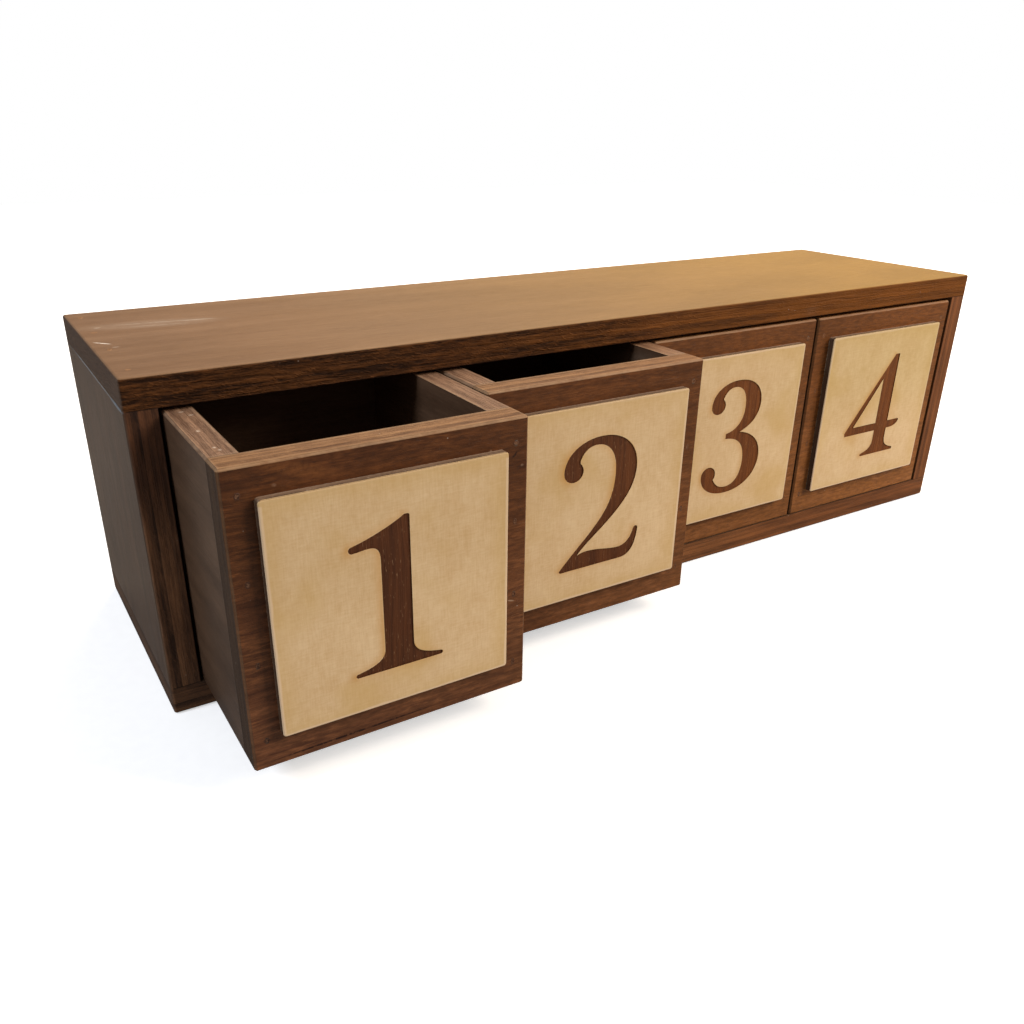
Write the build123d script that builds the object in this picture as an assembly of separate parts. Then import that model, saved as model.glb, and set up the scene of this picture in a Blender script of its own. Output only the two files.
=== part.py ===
from build123d import *
import os

# Wooden organizer for small parts: a plywood carcass with four drawers side by side.
# Millimetres, +Z up. The origin is the middle of the underside, and the drawers pull out towards -Y.
# The carcass's top and bottom boards lap its sides, and each drawer's front and back lap its sides.
# Brads from a nail gun hold the lapped corners, and their heads are flush with the boards.

# Carcass
CARCASS_BOARD = 10.0         # plywood of the top, the bottom and both sides
CARCASS_DEPTH = 107.0        # front edges to rear edges
CARCASS_ARRIS = 1.0          # sanded round on the carcass's outer edges
BACK_PANEL = 3.0             # plywood of the back panel
BACK_REBATE = 5.0            # how far the back panel lies over each board's rear edge

# Drawers
DRAWER_WIDTH = 93.5
DRAWER_HEIGHT = 95.0
DRAWER_FRONT = 10.0          # plywood of the drawer front
DRAWER_WALL = 9.0            # plywood of the drawer's sides and back
DRAWER_ARRIS = 0.7           # sanded bevel on the drawer's outer edges
DRAWER_PANEL = 3.0           # plywood of the drawer's bottom panel
GROOVE_DEPTH = 3.0           # how far the bottom panel reaches into each board round it
GROOVE_LIFT = 4.0            # from the drawer's lower edge up to that groove
OUT_AT_REST = (56.4, 29.7, 0.0, 0.0)    # how far each drawer stands open, from the left
DRAWER_COUNT = len(OUT_AT_REST)

# Running clearances
SIDE_CLEARANCE = 1.2         # beside each drawer
TOP_CLEARANCE = 1.5          # above the drawers
REAR_CLEARANCE = 1.0         # behind a closed drawer

# Plates glued on the drawer fronts
PLATE_WIDTH = 76.0
PLATE_HEIGHT = 74.5
PLATE_THICKNESS = 3.0
PLATE_ARRIS = 0.4            # round along the edges of the plate's face
PLATE_LIFT = 1.1             # the plate's middle stands this much above the front's middle

# Brads and pins
BRAD_LENGTH = 25.0
PIN_LENGTH = 12.0
SHANK_WIDTH = 1.2
SHANK_THICKNESS = 1.0
HEAD_WIDTH = 2.0
HEAD_HEIGHT = 0.6
POINT_LENGTH = 1.5
POINT_WIDTH = 0.3
CORNER_BRADS = 4             # in each lapped corner
BRAD_ABOVE_PANEL = 3.0       # lowest brad of a drawer, above its bottom panel
BRAD_BELOW_RIM = 8.0         # highest brad of a drawer, below its rim
BRAD_FROM_EDGE = 10.0        # first and last brad of the carcass, from its front and rear edges
PINS_ACROSS = 5              # along the back panel's upper and lower edges
PINS_UP = 2                  # up each of its side edges
PIN_FROM_CORNER = 20.0       # first and last pin across, from the panel's corners
PIN_FROM_END = 35.0          # first and last pin up, from the panel's corners

# Sizes that follow from those above
INNER_WIDTH = DRAWER_COUNT * DRAWER_WIDTH + (DRAWER_COUNT + 1) * SIDE_CLEARANCE
INNER_HEIGHT = DRAWER_HEIGHT + TOP_CLEARANCE
CARCASS_WIDTH = INNER_WIDTH + 2 * CARCASS_BOARD
CARCASS_HEIGHT = INNER_HEIGHT + 2 * CARCASS_BOARD
CARCASS_FRONT = -CARCASS_DEPTH / 2
CARCASS_REAR = CARCASS_DEPTH / 2
DRAWER_DEPTH = CARCASS_DEPTH - BACK_PANEL - REAR_CLEARANCE


def block(x0, x1, y0, y1, z0, z1):
    """Returns a block between two values on each axis."""
    return Pos(x0, y0, z0) * Box(x1 - x0, y1 - y0, z1 - z0, align=Align.MIN)


def spread(first, last, count):
    """Returns count evenly spaced values, from first to last."""
    step = (last - first) / (count - 1)
    return [first + step * i for i in range(count)]


def nail(length):
    """Returns a nail-gun nail: flat head at the origin, shank along -Z, chisel point."""
    half_shank = SHANK_WIDTH / 2
    side = Polyline(
        (0, 0),
        (HEAD_WIDTH / 2, 0),
        (HEAD_WIDTH / 2, -HEAD_HEIGHT),
        (half_shank, -HEAD_HEIGHT),
        (half_shank, POINT_LENGTH - length),
        (POINT_WIDTH / 2, -length),
        (0, -length),
    )
    outline = side + mirror(side, about=Plane.YZ)
    face = Plane.XZ * make_face(outline)
    return extrude(face, SHANK_THICKNESS / 2, both=True)


def nails(length, places, turn):
    """Returns one nail at each place, turned the same way."""
    pattern = nail(length)
    return Compound([Pos(*place) * turn * pattern for place in places])


def save(name, shape):
    """Writes one sub-part's STEP file."""
    export_step(shape, f"parts/{name}.step")


# Turns that point a nail into the board it is driven through.
DRIVE_DOWN = Rot(0, 0, 0)
DRIVE_UP = Rot(180, 0, 0)
DRIVE_TO_REAR = Rot(90, 0, 0) * Rot(0, 0, 90)
DRIVE_TO_FRONT = Rot(-90, 0, 0) * Rot(0, 0, 90)


def build_carcass():
    """Writes the four boards, the back panel and what holds them."""
    half = CARCASS_WIDTH / 2
    inner_half = INNER_WIDTH / 2
    inner_top = CARCASS_HEIGHT - CARCASS_BOARD
    shell = fillet(
        block(-half, half, CARCASS_FRONT, CARCASS_REAR, 0, CARCASS_HEIGHT).edges(),
        CARCASS_ARRIS,
    )
    bottom = shell & block(-half, half, CARCASS_FRONT, CARCASS_REAR, 0, CARCASS_BOARD)
    top = shell & block(-half, half, CARCASS_FRONT, CARCASS_REAR, inner_top, CARCASS_HEIGHT)
    left = shell & block(-half, -inner_half, CARCASS_FRONT, CARCASS_REAR, CARCASS_BOARD, inner_top)
    right = shell & block(inner_half, half, CARCASS_FRONT, CARCASS_REAR, CARCASS_BOARD, inner_top)

    # The back panel fills a step round the rear of the opening, so no edge of it shows from the sides.
    panel_half = inner_half + BACK_REBATE
    panel_bottom = CARCASS_BOARD - BACK_REBATE
    panel_top = inner_top + BACK_REBATE
    panel = block(-panel_half, panel_half, CARCASS_REAR - BACK_PANEL, CARCASS_REAR, panel_bottom, panel_top)

    # Brads run through the top and bottom boards into the middle of each side board's end.
    brad_x = half - CARCASS_BOARD / 2
    brad_ys = spread(CARCASS_FRONT + BRAD_FROM_EDGE, CARCASS_REAR - BRAD_FROM_EDGE, CORNER_BRADS)
    corners = [(x, y) for x in (-brad_x, brad_x) for y in brad_ys]
    top_brads = nails(BRAD_LENGTH, [(x, y, CARCASS_HEIGHT) for x, y in corners], DRIVE_DOWN)
    bottom_brads = nails(BRAD_LENGTH, [(x, y, 0) for x, y in corners], DRIVE_UP)

    # Pins run through the back panel's margin into the rear edges of the boards.
    margin = BACK_REBATE / 2
    across = spread(-panel_half + PIN_FROM_CORNER, panel_half - PIN_FROM_CORNER, PINS_ACROSS)
    up = spread(panel_bottom + PIN_FROM_END, panel_top - PIN_FROM_END, PINS_UP)
    rows = [(x, z) for z in (panel_bottom + margin, panel_top - margin) for x in across]
    columns = [(x, z) for x in (-panel_half + margin, panel_half - margin) for z in up]
    pins = nails(PIN_LENGTH, [(x, CARCASS_REAR, z) for x, z in rows + columns], DRIVE_TO_FRONT)

    save("bottom_board", bottom - panel - bottom_brads - pins)
    save("top_board", top - panel - top_brads - pins)
    save("left_side_board", left - panel - top_brads - bottom_brads - pins)
    save("right_side_board", right - panel - top_brads - bottom_brads - pins)
    save("back_panel", panel - pins)
    save("top_board_brads", top_brads)
    save("bottom_board_brads", bottom_brads)
    save("back_panel_pins", pins)


def build_drawer(number, left_x, out):
    """Writes one drawer: its boards, its bottom panel, its plate and its brads."""
    place = Pos(left_x, CARCASS_FRONT - out, CARCASS_BOARD)
    width, depth, height = DRAWER_WIDTH, DRAWER_DEPTH, DRAWER_HEIGHT
    rear_wall = depth - DRAWER_WALL
    shell = chamfer(block(0, width, 0, depth, 0, height).edges(), DRAWER_ARRIS)
    front = shell & block(0, width, 0, DRAWER_FRONT, 0, height)
    back = shell & block(0, width, rear_wall, depth, 0, height)
    left = shell & block(0, DRAWER_WALL, DRAWER_FRONT, rear_wall, 0, height)
    right = shell & block(width - DRAWER_WALL, width, DRAWER_FRONT, rear_wall, 0, height)

    # The bottom panel sits in a groove that runs round all four boards and shows on none of them.
    panel = block(
        DRAWER_WALL - GROOVE_DEPTH,
        width - DRAWER_WALL + GROOVE_DEPTH,
        DRAWER_FRONT - GROOVE_DEPTH,
        rear_wall + GROOVE_DEPTH,
        GROOVE_LIFT,
        GROOVE_LIFT + DRAWER_PANEL,
    )

    # Brads run through the front and the back into the middle of each side's end.
    brad_xs = (DRAWER_WALL / 2, width - DRAWER_WALL / 2)
    lowest = GROOVE_LIFT + DRAWER_PANEL + BRAD_ABOVE_PANEL
    brad_zs = spread(lowest, height - BRAD_BELOW_RIM, CORNER_BRADS)
    corners = [(x, z) for x in brad_xs for z in brad_zs]
    front_brads = nails(BRAD_LENGTH, [(x, 0, z) for x, z in corners], DRIVE_TO_REAR)
    back_brads = nails(BRAD_LENGTH, [(x, depth, z) for x, z in corners], DRIVE_TO_FRONT)

    # The plate is glued on the front's face, and the edges of its own face are rounded.
    plate_bottom = (height - PLATE_HEIGHT) / 2 + PLATE_LIFT
    plate_left = (width - PLATE_WIDTH) / 2
    plate = block(
        plate_left,
        plate_left + PLATE_WIDTH,
        -PLATE_THICKNESS,
        0,
        plate_bottom,
        plate_bottom + PLATE_HEIGHT,
    )
    plate = fillet(plate.faces().sort_by(Axis.Y)[0].edges(), PLATE_ARRIS)

    name = f"drawer_{number}"
    save(f"{name}_front", place * (front - panel - front_brads))
    save(f"{name}_left_side", place * (left - panel - front_brads - back_brads))
    save(f"{name}_right_side", place * (right - panel - front_brads - back_brads))
    save(f"{name}_back", place * (back - panel - back_brads))
    save(f"{name}_bottom_panel", place * panel)
    save(f"{name}_plate", place * plate)
    save(f"{name}_front_brads", place * front_brads)
    save(f"{name}_back_brads", place * back_brads)


os.makedirs("parts", exist_ok=True)
build_carcass()
for i in range(DRAWER_COUNT):
    build_drawer(
        number=i + 1,
        left_x=-INNER_WIDTH / 2 + SIDE_CLEARANCE + i * (DRAWER_WIDTH + SIDE_CLEARANCE),
        out=OUT_AT_REST[i],
    )
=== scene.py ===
"""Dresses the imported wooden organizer: stained boards, engraved plates and the marks of sunk nails.

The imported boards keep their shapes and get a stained-plywood material each. The plates are built again, with
a plain numeral cut into each. Lengths are in metres, but the numerals' outlines are in millimetres.
"""
import logging
import math
from abc import ABC, abstractmethod
from collections.abc import Iterator, Sequence
from dataclasses import dataclass, field
from enum import Enum, member

import bmesh
import bpy
import numpy as np
from mathutils import Matrix, Vector
from mathutils.geometry import delaunay_2d_cdt


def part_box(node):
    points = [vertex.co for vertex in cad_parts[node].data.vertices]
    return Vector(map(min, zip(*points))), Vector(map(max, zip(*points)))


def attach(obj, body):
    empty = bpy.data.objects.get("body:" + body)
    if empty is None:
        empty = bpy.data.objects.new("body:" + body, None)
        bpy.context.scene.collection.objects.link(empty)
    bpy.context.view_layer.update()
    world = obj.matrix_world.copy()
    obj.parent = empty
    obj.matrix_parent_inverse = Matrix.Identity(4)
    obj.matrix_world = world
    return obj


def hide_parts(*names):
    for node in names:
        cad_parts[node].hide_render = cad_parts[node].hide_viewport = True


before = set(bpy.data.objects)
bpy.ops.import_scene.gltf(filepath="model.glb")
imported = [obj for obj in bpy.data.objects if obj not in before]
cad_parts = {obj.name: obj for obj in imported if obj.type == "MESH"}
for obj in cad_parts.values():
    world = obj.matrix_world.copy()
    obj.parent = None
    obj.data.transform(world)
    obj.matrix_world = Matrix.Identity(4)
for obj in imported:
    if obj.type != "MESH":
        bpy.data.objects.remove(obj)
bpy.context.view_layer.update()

log = logging.getLogger("organizer")

MM = 0.001
TINY = 1e-9                 # keeps a division away from zero
SAME_PLACE = 1e-7           # two points that are nearer than this are one
STEP_OF_PATTERN = 0.737     # how far apart two boards' patterns are read

# Attributes of the meshes that are made here
SCORCH = "scorch"
HOLLOW = "hollow"
PAINTED_TOP_LIGHT = "painted_top_light"

Socket = bpy.types.NodeSocket
Outputs = bpy.types.bpy_prop_collection
Pair = tuple[float, float]
Point = Pair
Triple = tuple[float, float, float]
Value = float | int | str | tuple[float, ...] | bpy.types.Material | Socket
Inputs = dict[str | int, Value]
Ring = list[bmesh.types.BMVert]


def shade(code: str) -> tuple[float, ...]:
    """Turns a screen colour into the linear one that a shader takes.

    Args:
        code: The colour as it looks on screen, such as "#a07850".

    Returns:
        Red, green, blue and an alpha of 1.
    """
    parts = [int(code[i : i + 2], 16) / 255 for i in (1, 3, 5)]
    linear = [p / 12.92 if p <= 0.04045 else ((p + 0.055) / 1.055) ** 2.4 for p in parts]
    return (*linear, 1.0)


class Axis(Enum):
    """The part's own axes."""

    X = (1.0, 0.0, 0.0)
    Y = (0.0, 1.0, 0.0)
    Z = (0.0, 0.0, 1.0)


class Graph:
    """Adds nodes to one node tree and joins them."""

    def __init__(self, tree: bpy.types.NodeTree) -> None:
        """Starts on an existing tree."""
        self.tree = tree

    def add(self, kind: str, inputs: Inputs | None = None, **settings: object) -> bpy.types.Node:
        """Adds one node.

        Args:
            kind: Blender's name of the node's type.
            inputs: What goes into its sockets, by name or place: a value, or another node's output.
            settings: The node's own properties.

        Returns:
            The new node.
        """
        node = self.tree.nodes.new(kind)
        for name, value in settings.items():
            setattr(node, name, value)
        for key, value in (inputs or {}).items():
            self.feed(node.inputs[key], value)
        return node

    def feed(self, socket: Socket, value: Value) -> None:
        """Joins an output to a socket, or writes a plain value there.

        Args:
            socket: The socket.
            value: The output or the value.
        """
        if isinstance(value, Socket):
            self.tree.links.new(value, socket)
        else:
            socket.default_value = value

    def math(self, operation: str, first: Value, second: Value = 0.0) -> Socket:
        """Returns the result of an operation on two numbers."""
        return self.add("ShaderNodeMath", {0: first, 1: second}, operation=operation).outputs[0]

    def plus(self, first: Value, second: Value) -> Socket:
        """Returns a sum."""
        return self.math("ADD", first, second)

    def minus(self, first: Value, second: Value) -> Socket:
        """Returns a difference."""
        return self.math("SUBTRACT", first, second)

    def times(self, first: Value, second: Value) -> Socket:
        """Returns a product."""
        return self.math("MULTIPLY", first, second)

    def weighted(self, *pairs: tuple[Value, Value]) -> Socket:
        """Adds values up, each multiplied by a share of its own.

        Args:
            pairs: Each value and its share.

        Returns:
            The sum.
        """
        total: Value = 0.0
        for value, share in pairs:
            inputs = {0: value, 1: share, 2: total}
            total = self.add("ShaderNodeMath", inputs, operation="MULTIPLY_ADD").outputs[0]
        return total

    def vector(self, operation: str, first: Value, second: Value) -> Socket:
        """Returns the result of an operation on two vectors."""
        return self.add("ShaderNodeVectorMath", {0: first, 1: second}, operation=operation).outputs["Vector"]

    def dot(self, first: Value, second: Value) -> Socket:
        """Returns the dot product of two vectors."""
        node = self.add("ShaderNodeVectorMath", {0: first, 1: second}, operation="DOT_PRODUCT")
        return node.outputs["Value"]

    def parts(self, vector: Value) -> list[Socket]:
        """Returns a vector's three numbers."""
        return list(self.add("ShaderNodeSeparateXYZ", {0: vector}).outputs)

    def joined(self, x: Value, y: Value, z: Value) -> Socket:
        """Returns a vector made of three numbers."""
        return self.add("ShaderNodeCombineXYZ", {0: x, 1: y, 2: z}).outputs[0]

    def point(self) -> Socket:
        """Returns the place of the shaded point."""
        return self.add("ShaderNodeTexCoord").outputs["Object"]

    def height(self) -> Socket:
        """Returns how high the shaded point lies."""
        return self.parts(self.point())[2]

    def attribute(self, name: str) -> Socket:
        """Returns a number that the mesh holds for each of its points."""
        return self.add("ShaderNodeAttribute", attribute_name=name).outputs["Fac"]

    def ease(self, value: Value, low: Value, high: Value, start: Value = 0.0, end: Value = 1.0) -> Socket:
        """Returns a smooth step: start where the value is low or less, and end where it is high or more."""
        inputs = {"Value": value, "From Min": low, "From Max": high, "To Min": start, "To Max": end}
        return self.add("ShaderNodeMapRange", inputs, interpolation_type="SMOOTHSTEP").outputs[0]

    def noise(self, place: Value, lengths: Value, detail: float = 2.0, rough: float = 0.5) -> Socket:
        """Adds smooth noise.

        Args:
            place: Where the noise is read.
            lengths: About how long its blobs are along each axis of place.
            detail: How many finer layers it has.
            rough: How strong those layers are.

        Returns:
            The noise, from 0 to 1.
        """
        at = self.vector("DIVIDE", place, lengths)
        inputs = {"Vector": at, "Scale": 1.0, "Detail": detail, "Roughness": rough}
        return self.add("ShaderNodeTexNoise", inputs, noise_dimensions="3D").outputs[0]

    def cloud(
        self, place: Value, lengths: Value, detail: float = 2.0, rough: float = 0.5, span: Pair = (0.3, 0.7)
    ) -> Socket:
        """Returns noise with more contrast: span holds the two values of the noise that become 0 and 1."""
        return self.ease(self.noise(place, lengths, detail, rough), *span)

    def blend(self, factor: Value, first: Value, second: Value, mode: str = "MIX") -> Socket:
        """Blends two colours.

        Args:
            factor: How much of the second there is.
            first: The first colour: an output, or a colour as it looks on screen, such as "#a07850".
            second: The second colour.
            mode: Blender's name of the way to blend.

        Returns:
            The blended colour.
        """
        first, second = (shade(colour) if isinstance(colour, str) else colour for colour in (first, second))
        node = self.add("ShaderNodeMix", {0: factor, 6: first, 7: second}, data_type="RGBA", blend_type=mode)
        return node.outputs[2]

    def tinted(self, colour: Value, gains: Sequence[Value]) -> Socket:
        """Returns a colour whose red, green and blue are each multiplied by a gain."""
        return self.blend(1.0, colour, self.joined(*gains), "MULTIPLY")

    def scaled(self, colour: Value, factor: Value) -> Socket:
        """Returns a colour made lighter or darker by a factor."""
        return self.tinted(colour, (factor, factor, factor))

    def shifted(self, colour: Value, mask: Value, gains: Triple, span: Pair = (0.0, 1.0)) -> Socket:
        """Returns a colour whose red, green and blue get their gains as a mask goes through a span."""
        return self.tinted(colour, [self.ease(mask, *span, 1.0, gain) for gain in gains])


class ShaderGroup(Graph):
    """A shader node group with named inputs and outputs, built once and placed in many materials."""

    def __init__(self, name: str, inputs: dict[str, float | Triple]) -> None:
        """Makes the group and its inputs.

        Args:
            name: The group's name.
            inputs: Each input's name and default value.
        """
        super().__init__(bpy.data.node_groups.new(name, "ShaderNodeTree"))
        for label, value in inputs.items():
            self.socket(label, "INPUT", isinstance(value, tuple)).default_value = value
        self.given = self.add("NodeGroupInput").outputs

    def socket(self, label: str, side: str, holds_vector: bool) -> bpy.types.NodeTreeInterfaceSocket:
        """Adds an input or an output, for a number or a vector."""
        kind = "NodeSocketVector" if holds_vector else "NodeSocketFloat"
        return self.tree.interface.new_socket(label, in_out=side, socket_type=kind)

    def give(self, outputs: dict[str, Socket]) -> None:
        """Makes the group's outputs.

        Args:
            outputs: Each output's name and what it puts out.
        """
        for label, value in outputs.items():
            self.socket(label, "OUTPUT", value.type == "VECTOR")
        self.add("NodeGroupOutput", outputs)

    def place(self, graph: Graph, inputs: Inputs) -> Outputs:
        """Places the group in a material's tree, and returns its outputs by name."""
        return graph.add("ShaderNodeGroup", inputs, node_tree=self.tree).outputs


def board_group() -> ShaderGroup:
    """Returns the group that says where on a board a point lies.

    Place runs along the grain, across it and through the thickness. Depth goes from 0 to 1 through the
    thickness, Edge is 1 where the plies show, End is 1 across the ends of the grain, Up is 1 where the board
    faces upwards, and Rearward is 1 where it faces the rear and -1 where it faces the front. Arris is how far
    a point lies inside the board's box, as only its eased edges do of all that shows, and Corner is the way
    to the nearest edge of the box.
    """
    group = ShaderGroup("Board", {
        "Low": (0.0, 0.0, 0.0),
        "High": (1.0, 1.0, 1.0),
        "Thickness axis": Axis.Z.value,
        "Grain axis": Axis.X.value,
        "Offset": 0.0,
    })
    given = group.given
    thickness, grain = given["Thickness axis"], given["Grain axis"]
    coordinates = group.add("ShaderNodeTexCoord").outputs
    point, normal = coordinates["Object"], coordinates["Normal"]
    from_low = group.vector("SUBTRACT", point, given["Low"])
    to_high = group.vector("SUBTRACT", given["High"], point)
    size = group.vector("SUBTRACT", given["High"], given["Low"])
    along = group.plus(group.dot(point, grain), given["Offset"])
    across = group.dot(point, group.vector("CROSS_PRODUCT", thickness, grain))
    depth = group.dot(from_low, thickness)
    facing = group.math("ABSOLUTE", group.dot(normal, thickness))
    endwise = group.math("ABSOLUTE", group.dot(normal, grain))
    x, y, z = group.parts(group.vector("MINIMUM", from_low, to_high))
    nearer = group.math("MINIMUM", x, y)
    further = group.math("MAXIMUM", x, y)
    group.give({
        "Place": group.joined(along, across, depth),
        "Depth": group.math("DIVIDE", depth, group.dot(size, thickness)),
        "Edge": group.ease(facing, 0.8, 0.6),
        "End": group.ease(endwise, 0.6, 0.8),
        "Up": group.ease(group.dot(normal, Axis.Z.value), 0.3, 0.9),
        "Rearward": group.dot(normal, Axis.Y.value),
        "Arris": group.math("MINIMUM", nearer, z),
        "Corner": group.math("MAXIMUM", nearer, group.math("MINIMUM", further, z)),
    })
    return group


def grain_group() -> ShaderGroup:
    """Returns the group for a veneer's grain.

    Streak is the slow change of tone in long bands, Fibre is fine lines, Figure is the short dashes that
    shimmer in patches, Mottle is the blotches that the stain leaves, Patch is the slow drift over a whole
    face, and Pores are small dark dashes.
    """
    group = ShaderGroup("Veneer grain", {
        "Place": (0.0, 0.0, 0.0),
        "Streaks": (0.08, 0.004, 0.01),
    })
    place = group.given["Place"]
    # The bands wander a little from side to side along the board.
    sway = group.times(group.minus(group.noise(place, (0.06, 0.02, 0.05), 1.0), 0.5), 0.004)
    swayed = group.vector("ADD", place, group.joined(0.0, sway, 0.0))
    dashes = group.cloud(swayed, (0.007, 0.0011, 0.01), 3.0, 0.6, (0.42, 0.68))
    patches = group.cloud(place, (0.02, 0.014, 0.01), span=(0.38, 0.62))
    group.give({
        "Streak": group.cloud(swayed, group.given["Streaks"], 4.0, 0.55, (0.25, 0.75)),
        "Fibre": group.cloud(swayed, (0.012, 0.00045, 0.01), 3.0, 0.6),
        "Figure": group.times(dashes, patches),
        "Mottle": group.cloud(swayed, (0.005, 0.0014, 0.01), 5.0, 0.7),
        "Patch": group.cloud(place, (0.07, 0.035, 0.05)),
        "Pores": group.cloud(swayed, (0.0035, 0.00028, 0.01), span=(0.6, 0.72)),
    })
    return group


FLECK_SLANT = math.radians(-22)     # how steeply the torn flecks on a sawn edge cross its length


def ply_group() -> ShaderGroup:
    """Returns the group for the layers that a plywood edge shows.

    Waver is how far the layers wander from their level, and Torn is how rough the saw left the edge, in
    blotches and a few short slanting flecks. Less of Fine gives fainter fibres and stronger plies. Tone
    differs from ply to ply and along each, Glue is the thin line between two plies, Gaps are the dark voids
    of torn core plies, and Height is the edge's relief.
    """
    group = ShaderGroup("Plies", {
        "Place": (0.0, 0.0, 0.0),
        "Depth": 0.0,
        "Layers": 5.0,
        "Waver": 0.5,
        "Torn": 0.5,
        "Fine": 1.0,
    })
    given = group.given
    place, torn, fine = given["Place"], given["Torn"], given["Fine"]
    waves = group.minus(group.noise(place, (0.018, 0.018, 0.004), 3.0, 0.6), 0.5)
    waver = group.times(waves, group.times(given["Waver"], 3.0))
    level = group.plus(group.times(given["Depth"], given["Layers"]), waver)
    number = group.math("FLOOR", level)
    own = group.add("ShaderNodeTexWhiteNoise", {"W": number}, noise_dimensions="1D").outputs["Value"]
    # Every second ply runs across the others, so the saw tears it more.
    crossing = group.math("PINGPONG", number, 1.0)
    lines = group.cloud(place, (0.022, 0.022, 0.0007), 3.0, 0.6)
    threads = group.cloud(place, (0.008, 0.008, 0.00022), 2.0, 0.6, (0.35, 0.65))
    speckle = group.cloud(place, (0.0006, 0.0006, 0.0004))
    slow = group.cloud(place, (0.03, 0.03, 0.003))
    blotch = group.cloud(place, (0.0055, 0.0055, 0.001), 4.0, 0.65, (0.35, 0.65))
    blotch = group.times(group.minus(blotch, 0.5), torn)

    along, across, through = group.parts(place)
    run = group.plus(along, across)
    lean, rise = math.cos(FLECK_SLANT), math.sin(FLECK_SLANT)
    with_fleck = group.weighted((run, lean), (through, rise))
    beside_fleck = group.weighted((through, lean), (run, -rise))
    slanted = group.joined(with_fleck, beside_fleck, 0.0)
    flecks = group.cloud(slanted, (0.0026, 0.0007, 1.0), 2.0, 0.55, (0.52, 0.7))
    in_places = group.cloud(place, (0.012, 0.012, 0.004), span=(0.4, 0.6))
    fleck = group.times(flecks, group.times(in_places, torn))

    fibres = group.weighted((lines, 0.35), (threads, 0.25), (speckle, 0.15))
    plies = group.weighted((own, 0.3), (slow, 0.3))
    wood = group.weighted((crossing, -0.15), (fibres, fine), (plies, group.minus(2.0, fine)))
    from_middle = group.math("ABSOLUTE", group.minus(group.math("FRACT", level), 0.5))
    glue = group.times(group.ease(from_middle, 0.38, 0.5), group.ease(lines, 0.1, 0.7, 0.1, 0.8))
    voids = group.cloud(place, (0.009, 0.009, 0.0008), 3.0, 0.6, (0.62, 0.75))
    gaps = group.times(voids, group.times(crossing, torn))
    raised = group.weighted((threads, 0.2), (lines, 0.5), (blotch, 1.0), (fleck, 1.2))
    group.give({
        "Tone": group.weighted((wood, 1.0), (blotch, 0.7), (fleck, 0.6), (torn, -0.25)),
        "Glue": glue,
        "Gaps": gaps,
        "Height": group.weighted((raised, 1.0), (gaps, -1.2), (glue, -0.6)),
    })
    return group


def wear_group() -> ShaderGroup:
    """Returns the group for handling: pale arrises, mostly the upper ones, dust specks and fine scratches."""
    group = ShaderGroup("Wear", {"Place": (0.0, 0.0, 0.0), "Arris": 0.0, "Corner": 1.0, "Up": 0.0})
    place, up = group.given["Place"], group.given["Up"]
    arris = group.ease(group.given["Arris"], 0.00002, 0.0002)
    arris = group.times(arris, group.ease(up, 0.0, 1.0, 0.12, 0.9))
    beside = group.times(group.ease(group.given["Corner"], 0.0015, 0.0007, 0.0, 0.6), up)
    patches = group.ease(group.noise(place, (0.007, 0.007, 0.007), 4.0, 0.65), 0.25, 0.65, 0.25, 1.0)
    cells = group.vector("DIVIDE", place, (0.0045, 0.0045, 0.0045))
    spots = group.add("ShaderNodeTexVoronoi", {"Vector": cells, "Scale": 1.0}).outputs["Distance"]
    rare = group.cloud(place, (0.012, 0.012, 0.012), 1.0, span=(0.58, 0.7))
    lines = group.cloud(place, (0.03, 0.0004, 0.02), 1.0, span=(0.68, 0.76))
    some = group.cloud(place, (0.03, 0.02, 0.02), span=(0.55, 0.7))
    group.give({
        "Rubbed": group.times(group.math("MAXIMUM", arris, beside), patches),
        "Specks": group.times(group.ease(spots, 0.07, 0.03), rare),
        "Scratches": group.times(lines, some),
    })
    return group


def mark_group() -> ShaderGroup:
    """Returns the group for one scuff, scratch, stain, painted highlight or patch of painted light at a named
    place.
    """
    group = ShaderGroup("Mark", {
        "Centre": (0.0, 0.0, 0.0),
        "Along": Axis.X.value,
        "Length": 0.02,
        "Width": 0.002,
    })
    given, point = group.given, group.point()
    offset = group.vector("SUBTRACT", point, given["Centre"])
    run = group.dot(offset, given["Along"])
    nearest = group.vector("MULTIPLY", given["Along"], group.joined(run, run, run))
    aside = group.vector("SUBTRACT", offset, nearest)
    spread = group.math("SQRT", group.dot(aside, aside))
    along = group.math("DIVIDE", group.math("ABSOLUTE", run), group.times(given["Length"], 0.5))
    across = group.math("DIVIDE", spread, group.times(given["Width"], 0.5))
    reach = group.plus(group.math("POWER", along, 2.0), group.math("POWER", across, 2.0))
    broken = group.ease(group.noise(point, (0.0015, 0.0007, 0.0015), 3.0, 0.65), 0.35, 0.55, 0.35, 1.0)
    group.give({"Mask": group.times(group.ease(reach, 1.0, 0.15), broken)})
    return group


def side_group() -> ShaderGroup:
    """Returns the group for the drift across the object, of stain and of painted warm light: Side goes from 0
    at the object's left to 1 at its right.
    """
    group = ShaderGroup("Side of the object", {})
    point = group.point()
    patch = group.noise(point, (0.07, 0.07, 0.07), 2.0)
    x = group.plus(group.parts(point)[0], group.times(patch, 0.03))
    group.give({"Side": group.ease(x, -0.2, 0.22)})
    return group


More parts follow.
